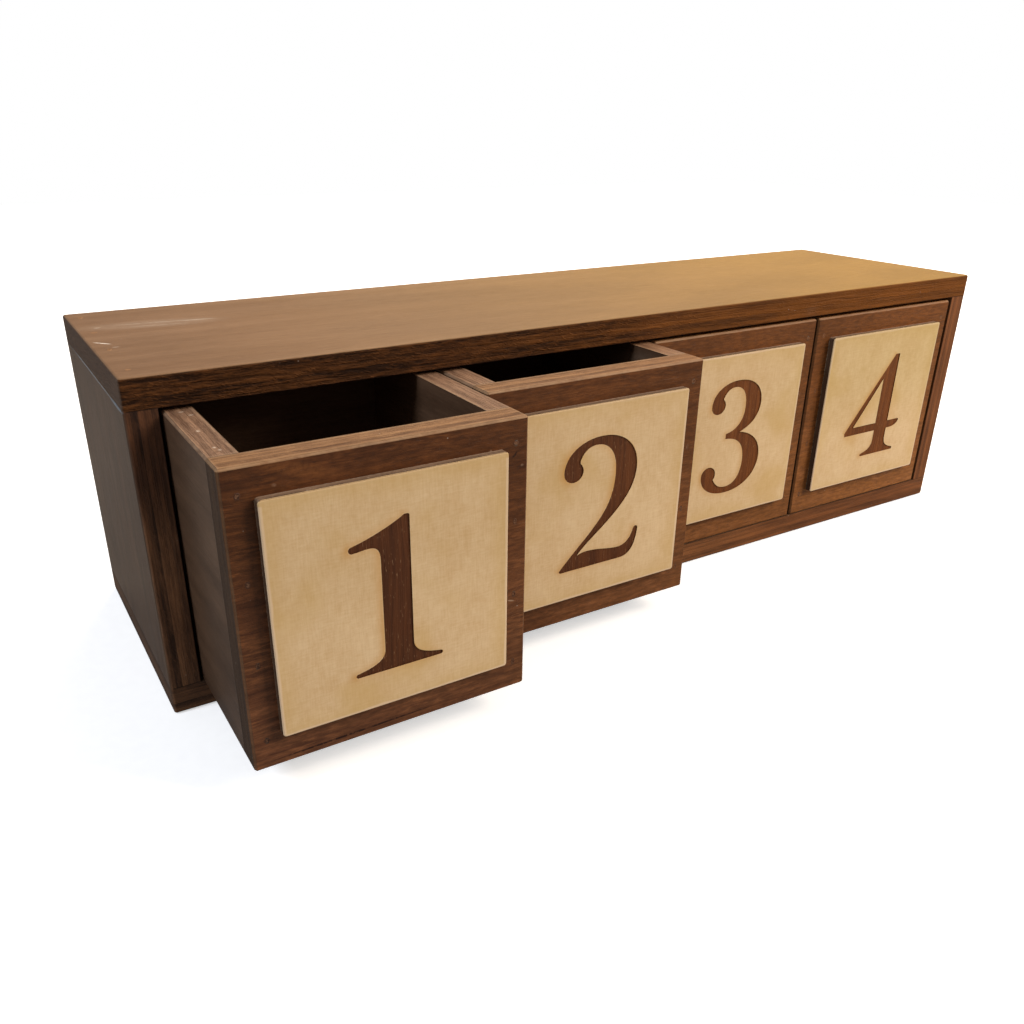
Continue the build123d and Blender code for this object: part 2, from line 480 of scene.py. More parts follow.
class Groups:
    """The node groups that the materials share, each built once."""

    def __init__(self) -> None:
        """Builds them all."""
        self.board = board_group()
        self.grain = grain_group()
        self.plies = ply_group()
        self.wear = wear_group()
        self.mark = mark_group()
        self.side = side_group()

    def on_board(
        self, graph: Graph, box: Sequence[Vector], thickness: Axis, grain: Axis, offset: float
    ) -> Outputs:
        """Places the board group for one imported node.

        Args:
            graph: The material's tree.
            box: The node's lowest and highest corner.
            thickness: The axis through its thickness.
            grain: The axis of its face grain.
            offset: A shift of the pattern along the grain.

        Returns:
            The group's outputs, by name.
        """
        return self.board.place(graph, {
            "Low": tuple(box[0]),
            "High": tuple(box[1]),
            "Thickness axis": thickness.value,
            "Grain axis": grain.value,
            "Offset": offset,
        })

    def sideways(self, graph: Graph) -> Socket:
        """Returns how far to the object's right a point lies, from 0 to 1."""
        return self.side.place(graph, {})["Side"]


class Finish(Graph):
    """One material while it is built, with its tree and its shader."""

    def __init__(self, name: str) -> None:
        """Makes the material.

        Args:
            name: Its name.
        """
        self.material = bpy.data.materials.new(name)
        self.material.use_nodes = True
        super().__init__(self.material.node_tree)
        self.shader = self.tree.nodes["Principled BSDF"].inputs

    def complete(
        self, colour: Socket, roughness: Value, specular: float = 0.5, relief: Socket | None = None
    ) -> bpy.types.Material:
        """Joins the results to the shader.

        Args:
            colour: The surface's colour.
            roughness: How dull its gloss is.
            specular: How strong its gloss is.
            relief: How high it stands above its mesh.

        Returns:
            The finished material.
        """
        self.feed(self.shader["Base Color"], colour)
        self.feed(self.shader["Roughness"], roughness)
        self.shader["Specular IOR Level"].default_value = specular
        if relief is not None:
            bump = self.add("ShaderNodeBump", {"Height": relief, "Distance": 1.0, "Strength": 1.0})
            self.feed(self.shader["Normal"], bump.outputs[0])
        return self.material


@dataclass(frozen=True)
class Mark:
    """One scuff, scratch or stain on a board, or a painted highlight or patch of painted light: its place,
    direction, size, strength and colour.
    """

    centre: Triple
    along: Triple
    length: float
    width: float
    strength: float
    tint: str = "#dccbb9"

    def mask(self, graph: Graph, groups: Groups) -> Socket:
        """Returns how strongly the mark covers each point."""
        sizes = {"Centre": self.centre, "Along": self.along, "Length": self.length, "Width": self.width}
        return graph.times(groups.mark.place(graph, sizes)["Mask"], self.strength)


@dataclass(frozen=True)
class Board:
    """One packed board: its node, the axes of its thickness and its face grain, its plies and its marks."""

    node: str
    thickness: Axis
    grain: Axis
    layers: int = 5
    marks: tuple[Mark, ...] = ()


@dataclass(frozen=True)
class StainedPly:
    """The looks of plywood under a brown stain and a satin varnish.

    light and dark are the veneer's two tones, figure is its shimmer, edge_light and edge_dark are the plies,
    end is the ends of the grain, worn is a rubbed arris, and speck is dust and scratches. warm is the
    veneer's tone at the object's right, partly the stain's drift and partly painted warm light and sheen, and
    warm_edge is how much redder, greener and bluer the plies get towards there, except on the rear, as painted
    light. evened is how much calmer they get there, and fine is how strong their fibres are, left and right.
    right_share is what is left there of the torn flecks and of the rubbing.
    low_gains and high_gains change the face's tone, low down and high up, and lower_left_edge that of the
    plies low down on the left; all three are painted light. gap_shade and joint_shade are how pale voids and
    joints are beside the wood round them.
    """

    light: str
    dark: str
    figure: str
    edge_light: str
    edge_dark: str
    worn: str
    warm: str
    end: str = "#3a2c22"
    speck: str = "#d8c8b8"
    end_strength: float = 0.7
    warm_strength: float = 0.0
    warm_edge: Triple = (1.0, 1.0, 1.0)
    lower_left_edge: Triple = (1.0, 1.0, 1.0)
    low_gains: Triple = (1.0, 1.0, 1.0)
    high_gains: Triple = (1.0, 1.0, 1.0)
    streaks: Triple = (0.08, 0.004, 0.01)
    cloud_strength: float = 0.14
    mottle_strength: float = 0.06
    figure_strength: float = 0.6
    fibre_strength: float = 0.1
    pore_strength: float = 0.3
    glue_strength: float = 0.5
    worn_strength: float = 0.6
    speck_strength: float = 0.45
    scratch_strength: float = 0.08
    gap_shade: float = 0.6
    joint_shade: float = 0.45
    waver: float = 0.2
    torn: float = 0.1
    evened: float = 0.2
    fine: Pair = (1.0, 1.0)
    right_share: float = 0.3
    roughness: float = 0.5
    fibre_gloss: float = 0.06
    edge_dulling: float = 0.18
    wear_dulling: float = 0.15
    specular: float = 0.22
    face_relief: float = 0.00003
    edge_relief: float = 0.00015


class StainedBoard(Finish):
    """The finish of one board of stained plywood while it is built."""

    def __init__(self, ply: StainedPly, board: Board, offset: float, groups: Groups) -> None:
        """Makes the material and reads the shared groups.

        Args:
            ply: The plywood and its stain.
            board: The board that the finish goes on.
            offset: A shift of the pattern along the grain, so that no two boards look alike.
            groups: The shared node groups.
        """
        super().__init__(f"stained_{board.node}")
        self.ply = ply
        self.where = where = groups.on_board(self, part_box(board.node), board.thickness, board.grain, offset)
        self.side = side = groups.sideways(self)
        self.level = self.height()
        self.grain = groups.grain.place(self, {"Place": where["Place"], "Streaks": ply.streaks})
        self.plies = groups.plies.place(self, {
            "Place": where["Place"],
            "Depth": where["Depth"],
            "Layers": float(board.layers),
            "Waver": ply.waver,
            "Torn": self.ease(side, 0.2, 0.8, ply.torn, ply.torn * ply.right_share),
            "Fine": self.ease(side, 0.2, 0.8, *ply.fine),
        })
        handled = ("Place", "Arris", "Corner", "Up")
        self.wear = groups.wear.place(self, {label: where[label] for label in handled})
        self.marks = [(mark.mask(self, groups), mark.tint) for mark in board.marks]

    def face(self) -> Socket:
        """Returns the veneer's colour."""
        ply, grain = self.ply, self.grain
        face = self.blend(grain["Streak"], ply.dark, ply.light)
        # Towards the object's right the veneer turns to warm: partly the stain's drift, partly painted warm
        # light and sheen.
        face = self.blend(self.times(self.side, ply.warm_strength), face, ply.warm)
        face = self.varied(face, grain["Patch"], ply.cloud_strength, 0.7)
        face = self.blend(self.times(grain["Figure"], ply.figure_strength), face, ply.figure)
        face = self.varied(face, grain["Fibre"], ply.fibre_strength)
        face = self.varied(face, grain["Mottle"], ply.mottle_strength)
        face = self.blend(self.times(grain["Pores"], ply.pore_strength), face, ply.dark)
        # Painted light: the face's tone and tint change from low down to high up, as the light falls there.
        pairs = zip(ply.low_gains, ply.high_gains)
        return self.tinted(face, [self.ease(self.level, 0.015, 0.095, low, high) for low, high in pairs])

    def varied(self, colour: Socket, pattern: Socket, strength: float, upward: float = 0.8) -> Socket:
        """Returns a colour that a pattern makes darker and, by the share upward of that, lighter."""
        return self.scaled(colour, self.ease(pattern, 0.0, 1.0, 1.0 - strength, 1.0 + strength * upward))

    def edge(self) -> Socket:
        """Returns the colour of the plies and of the grain's ends."""
        ply, plies, side = self.ply, self.plies, self.side
        evened = self.times(self.minus(0.5, plies["Tone"]), self.times(side, ply.evened))
        edge = self.blend(self.plus(plies["Tone"], evened), ply.edge_dark, ply.edge_light)
        edge = self.blend(self.times(plies["Glue"], ply.glue_strength), edge, ply.edge_dark)
        edge = self.scaled(edge, self.ease(plies["Gaps"], 0.0, 1.0, 1.0, ply.gap_shade))
        # Painted light: the plies get lighter and warmer towards the object's right, except on the rear.
        warmed = self.times(side, self.ease(self.where["Rearward"], 0.2, 0.6, 1.0, 0.0))
        edge = self.shifted(edge, warmed, ply.warm_edge)
        # Painted light: the plies low down on the left are lifted out of the shade that the open drawer casts
        # there.
        lower_left = self.times(self.minus(1.0, side), self.ease(self.level, 0.095, 0.05))
        edge = self.shifted(edge, lower_left, ply.lower_left_edge)
        return self.blend(self.times(self.where["End"], ply.end_strength), edge, ply.end)

    def add_wear_and_painted_light(self, colour: Socket) -> tuple[Socket, Socket]:
        """Adds what use has left: rubbed arrises, dirt in the joints, specks and scratches, and the board's
        marks, of which some are painted highlights and painted light.

        Args:
            colour: The board's colour before.

        Returns:
            The colour, and how much of its gloss each point has lost.
        """
        ply, wear = self.ply, self.wear
        worn = self.ease(self.side, 0.3, 1.0, ply.worn_strength, ply.worn_strength * ply.right_share)
        colour = self.blend(self.times(wear["Rubbed"], worn), colour, ply.worn)
        # Stain and dirt gather where two boards meet.
        on_flat = self.ease(self.where["Arris"], 0.00003, 0.00001)
        joint = self.times(self.ease(self.where["Corner"], 0.00035, 0.00005), on_flat)
        colour = self.scaled(colour, self.ease(joint, 0.0, 1.0, 1.0, ply.joint_shade))
        specks = self.times(wear["Specks"], ply.speck_strength)
        dulled = self.math("MAXIMUM", specks, self.times(wear["Scratches"], ply.scratch_strength))
        colour = self.blend(dulled, colour, ply.speck)
        for mask, tint in self.marks:
            colour = self.blend(mask, colour, tint)
            dulled = self.math("MAXIMUM", dulled, mask)
        return colour, dulled

    def build(self) -> bpy.types.Material:
        """Builds the finish.

        Returns:
            Its material.
        """
        ply, grain, edge = self.ply, self.grain, self.where["Edge"]
        colour, dulled = self.add_wear_and_painted_light(self.blend(edge, self.face(), self.edge()))
        shares = ((grain["Fibre"], -ply.fibre_gloss), (edge, ply.edge_dulling), (dulled, ply.wear_dulling))
        on_face = self.times(self.minus(1.0, edge), ply.face_relief)
        on_edge = self.times(edge, ply.edge_relief)
        fibres = self.minus(grain["Fibre"], grain["Pores"])
        relief = self.weighted((fibres, on_face), (self.plies["Height"], on_edge))
        roughness = self.plus(self.weighted(*shares), ply.roughness)
        return self.complete(colour, roughness, ply.specular, relief)


@dataclass(frozen=True)
class PlateVeneer:
    """The plates' pale face: crossed faint streaks, a yellowed margin, a border that is partly sanded paler and
    partly a painted highlight, and scorched halos.

    singed is the rounded upper edge. low_gains and right_gains say how much redder, greener and bluer the
    face gets: low down, and higher up at the object's right; both are painted light.
    """

    light: str = "#e9cca2"
    dark: str = "#d3ae7c"
    margin: str = "#d0aa66"
    border: str = "#e9ccaa"
    singed: str = "#876648"
    halo: str = "#cf9548"
    low_gains: Triple = (1.1, 1.11, 1.14)
    right_gains: Triple = (0.92, 0.93, 0.81)
    margin_strength: float = 0.45
    fleck_strength: float = 0.35
    roughness: float = 0.45
    specular: float = 0.3
    relief: float = 0.00003

    def material(self, node: str, offset: float, groups: Groups) -> bpy.types.Material:
        """Builds the finish for one plate's face.

        Args:
            node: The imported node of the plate.
            offset: A shift of the pattern.
            groups: The shared node groups.

        Returns:
            The material.
        """
        finish = Finish(f"veneer_{node}")
        low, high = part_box(node)
        where = groups.on_board(finish, (low, high), Axis.Y, Axis.Z, offset)
        place, corner, up = where["Place"], where["Corner"], where["Up"]
        side, height = groups.sideways(finish), finish.height()
        upright = finish.cloud(place, (0.006, 0.00055, 0.01), 3.0, 0.65)
        level = finish.cloud(place, (0.0006, 0.0045, 0.01), 3.0, 0.65)
        blotches = finish.cloud(place, (0.004, 0.003, 0.01), 5.0, 0.7)
        clouds = finish.cloud(place, (0.02, 0.016, 0.02), 3.0, 0.55)
        drift = finish.noise(place, (0.03, 0.03, 0.03), 2.0)
        weave = finish.weighted((upright, 0.26), (level, 0.26))
        tone = finish.weighted((weave, 1.0), (blotches, 0.28), (clouds, 0.3))
        colour = finish.blend(tone, self.dark, self.light)

        yellowed = finish.ease(drift, 0.52, 0.7, 0.0, self.margin_strength)
        colour = finish.blend(yellowed, colour, self.margin)
        uneven = finish.weighted((corner, 1.0), (drift, 0.016))
        margin = finish.ease(uneven, 0.016, 0.005, 0.0, self.margin_strength)
        colour = finish.blend(margin, colour, self.margin)
        # A paler border round the face: partly sanded paler wood and partly a painted highlight where the
        # rounded edge would catch the light; less where the face turns up, and at the top mostly on the right.
        ragged = finish.weighted((corner, 1.0), (clouds, 0.0005))
        paled_and_highlit = finish.times(finish.ease(ragged, 0.0014, 0.0008), finish.ease(up, 0.0, 1.0, 0.8, 0.1))
        at_top = finish.ease(side, 0.2, 0.7, 0.1, 0.8)
        paled_and_highlit = finish.times(paled_and_highlit, finish.ease(height, high.z - 0.002, high.z - 0.0015, 1.0, at_top))
        colour = finish.blend(paled_and_highlit, colour, self.border)
        rolled = finish.times(finish.ease(where["Arris"], 0.00001, 0.00006), up)
        colour = finish.blend(rolled, colour, self.singed)
        flecks = finish.noise(place, (0.0014, 0.0004, 0.01), 2.0)
        flecks = finish.ease(flecks, 0.72, 0.8, 0.0, self.fleck_strength)
        colour = finish.blend(flecks, colour, self.margin)

        # Painted light: the face is lighter low down, and darker and yellower higher up at the object's right.
        above = finish.ease(height, 0.025, 0.09)
        gains = []
        for lower, right in zip(self.low_gains, self.right_gains):
            upper = finish.ease(side, 0.65, 1.0, 1.0, right)
            gains.append(finish.ease(above, 0.0, 1.0, lower, upper))
        colour = finish.tinted(colour, gains)
        heat = finish.times(finish.attribute(SCORCH), finish.ease(drift, 0.3, 0.6, 0.6, 1.0))
        colour = finish.blend(heat, colour, self.halo)
        return finish.complete(colour, self.roughness, self.specular, finish.times(weave, self.relief))


@dataclass(frozen=True)
class CutEdge:
    """The plates' cut sides: burnt dark, lighter as painted light where they face up, with dust on the upper
    side and pale glue along the board.
    """

    light: str = "#8d7058"
    dark: str = "#38261a"
    dust: str = "#b5a18b"
    glue_strength: float = 0.55
    dust_strength: float = 0.6
    roughness: float = 0.65
    specular: float = 0.2
    relief: float = 0.00008

    def material(self, node: str, offset: float, groups: Groups) -> bpy.types.Material:
        """Builds the finish for one plate's sides.

        Args:
            node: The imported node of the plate.
            offset: A shift of the pattern.
            groups: The shared node groups.

        Returns:
            The material.
        """
        finish = Finish(f"cut_edge_{node}")
        where = groups.on_board(finish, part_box(node), Axis.Y, Axis.X, offset)
        place, depth, up = where["Place"], where["Depth"], where["Up"]
        plies = groups.plies.place(finish, {"Place": place, "Depth": depth, "Layers": 3.0})
        smoke = finish.noise(place, (0.006, 0.006, 0.0015), 3.0)
        burnt = finish.ease(finish.weighted((depth, 1.0), (smoke, 0.5)), 0.25, 0.75)
        tone = finish.times(burnt, finish.ease(plies["Tone"], 0.2, 0.8, 0.6, 1.0))
        # Painted light: the sides that face up are made lighter than the others.
        tone = finish.times(tone, finish.ease(up, 0.0, 1.0, 0.3, 1.0))
        colour = finish.blend(tone, self.dark, self.light)
        specks = finish.noise(place, (0.0012, 0.0012, 0.0006), 2.0)
        glued = finish.times(finish.ease(depth, 0.86, 0.97), finish.ease(specks, 0.35, 0.6))
        dusty = finish.times(finish.ease(specks, 0.64, 0.74, 0.0, self.dust_strength), up)
        dusty = finish.math("MAXIMUM", finish.times(glued, self.glue_strength), dusty)
        colour = finish.blend(dusty, colour, self.dust)
        relief = finish.times(plies["Height"], self.relief)
        return finish.complete(colour, self.roughness, self.specular, relief)


@dataclass(frozen=True)
class Engraving:
    """The burnt floor and walls of the numerals: upright dark grain with a few pale fibres left standing.

    warm_gains say how much redder, greener and bluer they get towards the object's right, over warm_span of
    the way; this is painted light.
    """

    light: str = "#64381b"
    dark: str = "#48250f"
    fibre: str = "#a98260"
    warm_gains: Triple = (1.9, 1.85, 1.2)
    warm_span: Pair = (0.15, 0.85)
    streaks: Triple = (0.03, 0.0014, 0.01)
    fibre_strength: float = 0.25
    roughness: float = 0.62
    specular: float = 0.25
    relief: float = 0.00008

    def material(self, groups: Groups) -> bpy.types.Material:
        """Builds the one finish that all numerals share.

        Args:
            groups: The shared node groups.

        Returns:
            The material.
        """
        finish = Finish("engraved_numeral")
        x, y, z = finish.parts(finish.point())
        place = finish.joined(z, x, y)
        side = groups.sideways(finish)
        grain = groups.grain.place(finish, {"Place": place, "Streaks": self.streaks})
        colour = finish.blend(grain["Streak"], self.dark, self.light)
        colour = finish.blend(finish.times(grain["Fibre"], self.fibre_strength), colour, self.dark)
        standing = finish.cloud(place, (0.0022, 0.0003, 0.01), span=(0.64, 0.76))
        standing = finish.times(standing, finish.ease(side, 0.1, 0.6, 0.65, 0.25))
        colour = finish.blend(standing, colour, self.fibre)
        # Painted light: the numerals grow lighter and warmer towards the object's right.
        colour = finish.shifted(colour, side, self.warm_gains, self.warm_span)
        relief = finish.times(grain["Fibre"], self.relief)
        return finish.complete(colour, self.roughness, self.specular, relief)


@dataclass(frozen=True)
class StainedSteel:
    """Brad heads that were stained over with the boards."""

    bright: str = "#6a5a4c"
    stained: str = "#2c1a10"

    def material(self) -> bpy.types.Material:
        """Builds the finish of every brad and pin.

        Returns:
            The material.
        """
        finish = Finish("stained_brad_steel")
        stain = finish.cloud(finish.point(), (0.0006, 0.0006, 0.0006), 3.0, span=(0.4, 0.6))
        finish.feed(finish.shader["Metallic"], finish.minus(1.0, stain))
        colour = finish.blend(stain, self.bright, self.stained)
        return finish.complete(colour, finish.ease(stain, 0.0, 1.0, 0.35, 0.6))


@dataclass(frozen=True)
class NailMark:
    """The raised lip round a sunk nail head, stained as the board is, with painted light on marks that face up,
    and the half-filled hollow in it.
    """

    hollow: str = "#1e0f08"
    filler: str = "#8a664c"
    lip: str = "#4e2f1f"
    warm_lip: str = "#80502a"
    lit_top_lip: str = "#9c7048"
    warm_strength: float = 0.8
    specular: float = 0.3

    def material(self, groups: Groups) -> bpy.types.Material:
        """Builds the finish of every nail mark.

        Args:
            groups: The shared node groups.

        Returns:
            The material.
        """
        finish = Finish("nail_mark")
        side = groups.sideways(finish)
        filled = finish.cloud(finish.point(), (0.0009, 0.0009, 0.0009), 1.0, span=(0.45, 0.55))
        # The lip turns warmer towards the object's right, as the board's face does, partly with painted warm
        # light.
        lip = finish.blend(side, self.lip, self.warm_lip)
        # Painted light: marks that face up get a paler lip.
        lip = finish.blend(finish.attribute(PAINTED_TOP_LIGHT), lip, self.lit_top_lip)
        bottom = finish.blend(filled, self.hollow, self.filler)
        bottom = finish.blend(finish.times(side, self.warm_strength), bottom, self.warm_lip)
        colour = finish.blend(finish.attribute(HOLLOW), lip, bottom)
        return finish.complete(colour, finish.ease(filled, 0.0, 1.0, 0.6, 0.45), self.specular)


class Pen:
    """Draws one closed outline in millimetres, from lines, curves and arcs."""

    CURVE_STEPS = 16
    ARC_STEP_DEGREES = 15.0

    def __init__(self, x: float, z: float) -> None:
        """Puts the pen down."""
        self.points: list[Point] = [(x, z)]

    def line(self, *stops: Point) -> "Pen":
        """Draws straight to each point in turn, and returns the pen."""
        self.points += stops
        return self

    def curve(self, leave: Point, arrive: Point, end: Point) -> "Pen":
        """Draws a cubic curve.

        Args:
            leave: The control point that the curve leaves towards.
            arrive: The control point that it arrives from.
            end: Where it ends.

        Returns:
            The pen itself.
        """
        corners = (self.points[-1], leave, arrive, end)
        for step in range(1, self.CURVE_STEPS + 1):
            t = step / self.CURVE_STEPS
            weights = ((1 - t) ** 3, 3 * t * (1 - t) ** 2, 3 * t * t * (1 - t), t**3)
            self.points.append(tuple(sum(w * c[i] for w, c in zip(weights, corners)) for i in (0, 1)))
        return self

    def arc(self, centre: Point, radius: float, start: float, end: float) -> "Pen":
        """Draws a round stretch.

        Args:
            centre: The middle of the circle.
            radius: Its radius.
            start: The angle at which the stretch starts, in degrees from +x towards +z.
            end: The angle at which it ends.

        Returns:
            The pen itself.
        """
        steps = max(2, round(abs(end - start) / self.ARC_STEP_DEGREES))
        for step in range(steps + 1):
            angle = math.radians(start + (end - start) * step / steps)
            self.points.append((centre[0] + radius * math.cos(angle), centre[1] + radius * math.sin(angle)))
        return self


# The numerals' sizes, in millimetres
CAP = 47.0                  # their height
FOOT = 1.3                  # thickness of a foot at its tips
FOOT_RISE = 7.0             # where a stem starts to swell into its foot
FOOT_HOLLOW = (2.1, 3.2)    # the heights of the control points of that swelling
FOOT_BEND = 0.45            # how far out on the foot the lower one of them lies
MEETING = 0.01              # points of an outline that are nearer to each other are one


def foot(pen: Pen, left: float, right: float, reach: float) -> Pen:
    """Draws the lower half of a stem: down its left side, round the foot and up its right side.

    Args:
        pen: The pen, at the stem's left side.
        left: The stem's left side.
        right: Its right side.
        reach: How far the foot goes past each side.

    Returns:
        The pen, on the stem's right side.
    """
    radius = FOOT / 2
    lower, upper = FOOT_HOLLOW
    bend = reach * FOOT_BEND
    tip_left, tip_right = left - reach + radius, right + reach - radius
    pen.line((left, FOOT_RISE)).curve((left, upper), (left - bend, lower), (tip_left, FOOT))
    pen.arc((tip_left, radius), radius, 90, 270).arc((tip_right, radius), radius, -90, 90)
    return pen.curve((right + bend, lower), (right, upper), (right, FOOT_RISE))


def numeral_one() -> list[list[Point]]:
    """Returns the outline of a 1: a stem on a foot, with a flag."""
    left, right = -4.1, 4.1
    pen = foot(Pen(left, 12.0), left, right, 8.4)
    pen.line((right, CAP - 0.6)).curve((right, CAP), (right - 0.6, CAP), (right - 1.4, CAP))
    pen.curve((-0.4, CAP - 2.2), (-6.5, CAP - 4.9), (-11.2, CAP - 6.2))
    pen.arc((-11.4, CAP - 7.3), 1.05, 80, 260)
    pen.curve((-7.2, CAP - 8.0), (left, CAP - 6.4), (left, CAP - 12.0))
    return [pen.points]


def numeral_two() -> list[list[Point]]:
    """Returns the outline of a 2: a ball, a bowl, a long diagonal and a swelling base."""
    pen = Pen(-14.9, 0.6)
    pen.curve((-8.6, 8.2), (-1.6, 13.6), (2.4, 20.6))
    pen.curve((4.8, 24.9), (5.6, 29.4), (5.6, 34.0))
    pen.curve((5.6, 41.0), (2.4, 44.9), (-2.2, 44.9))
    pen.curve((-5.0, 44.9), (-7.2, 43.4), (-8.3, 40.2))
    pen.arc((-10.6, 36.6), 3.6, 50, -180)
    pen.curve((-14.2, 43.4), (-7.8, CAP + 0.7), (-0.2, CAP + 0.7))
    pen.curve((8.4, CAP + 0.7), (14.0, 42.2), (14.0, 34.4))
    pen.curve((14.0, 27.0), (9.6, 21.6), (3.8, 16.2))
    pen.curve((0.0, 12.6), (-5.2, 9.0), (-8.0, 5.4))
    pen.curve((-3.2, 7.4), (3.4, 4.6), (8.0, 4.6))
    pen.curve((11.4, 4.6), (13.2, 6.6), (14.2, 10.2))
    pen.arc((15.2, 10.3), 0.9, 160, -10)
    pen.curve((15.6, 4.6), (14.2, 0.0), (9.0, 0.0))
    pen.line((-14.4, 0.0))
    return [pen.points]


def numeral_three() -> list[list[Point]]:
    """Returns the outline of a 3: two balls and two bowls that meet in a waist."""
    pen = Pen(-4.4, 25.6)
    pen.curve((1.6, 26.4), (4.2, 30.8), (4.2, 36.2))
    pen.curve((4.2, 41.6), (2.0, 45.0), (-2.0, 45.0))
    pen.curve((-4.6, 45.0), (-6.4, 43.6), (-7.4, 41.0))
    pen.arc((-9.6, 38.0), 3.4, 50, -180)
    pen.curve((-13.0, 43.8), (-7.6, CAP + 0.7), (-0.6, CAP + 0.7))
    pen.curve((7.4, CAP + 0.7), (12.2, 43.4), (12.2, 37.0))
    pen.curve((12.2, 31.4), (8.6, 27.2), (2.6, 25.4))
    pen.curve((10.2, 23.8), (14.4, 19.4), (14.4, 13.0))
    pen.curve((14.4, 4.6), (7.4, -0.8), (-1.8, -0.8))
    pen.curve((-9.6, -0.8), (-14.9, 3.0), (-14.9, 8.6))
    pen.arc((-11.3, 8.6), 3.6, 180, -40)
    pen.curve((-7.2, 3.4), (-5.0, 1.9), (-1.8, 1.9))
    pen.curve((3.0, 1.9), (5.8, 6.0), (5.8, 12.6))
    pen.curve((5.8, 19.6), (2.2, 23.2), (-4.4, 23.4))
    return [pen.points]


def numeral_four() -> list[list[Point]]:
    """Returns the outlines of a 4: the figure itself and the triangle that it encloses."""
    left, right = 2.2, 10.0
    bar_bottom, bar_top = 11.6, 15.2
    pen = foot(Pen(-16.6, bar_bottom).line((left, bar_bottom)), left, right, 6.6)
    pen.line((right, bar_bottom)).curve((14.0, bar_bottom), (16.4, bar_bottom + 0.4), (17.4, bar_top - 0.6))
    pen.line((16.8, bar_top), (right, bar_top), (right, CAP), (7.6, CAP), (-16.9, bar_bottom + 1.6))
    return [pen.points, [(left, bar_top), (left, 36.2), (-11.9, bar_top)]]


class Numeral(Enum):
    """What is cut into each plate, from the left."""

    ONE = member(numeral_one)
    TWO = member(numeral_two)
    THREE = member(numeral_three)
    FOUR = member(numeral_four)

    def outlines(self) -> list[list[Point]]:
        """Returns the numeral's closed outlines in millimetres, the first one around the others."""
        return self.value()


def mesh_object(name: str, mesh: bpy.types.Mesh) -> bpy.types.Object:
    """Puts a mesh into the scene as an object at the origin.

    Args:
        name: The object's name.
        mesh: The mesh.

    Returns:
        The object.
    """
    piece = bpy.data.objects.new(name, mesh)
    bpy.context.scene.collection.objects.link(piece)
    return piece


class Slot(Enum):
    """The material slots of a plate."""

    FACE = 0
    SIDE = 1
    NUMERAL = 2


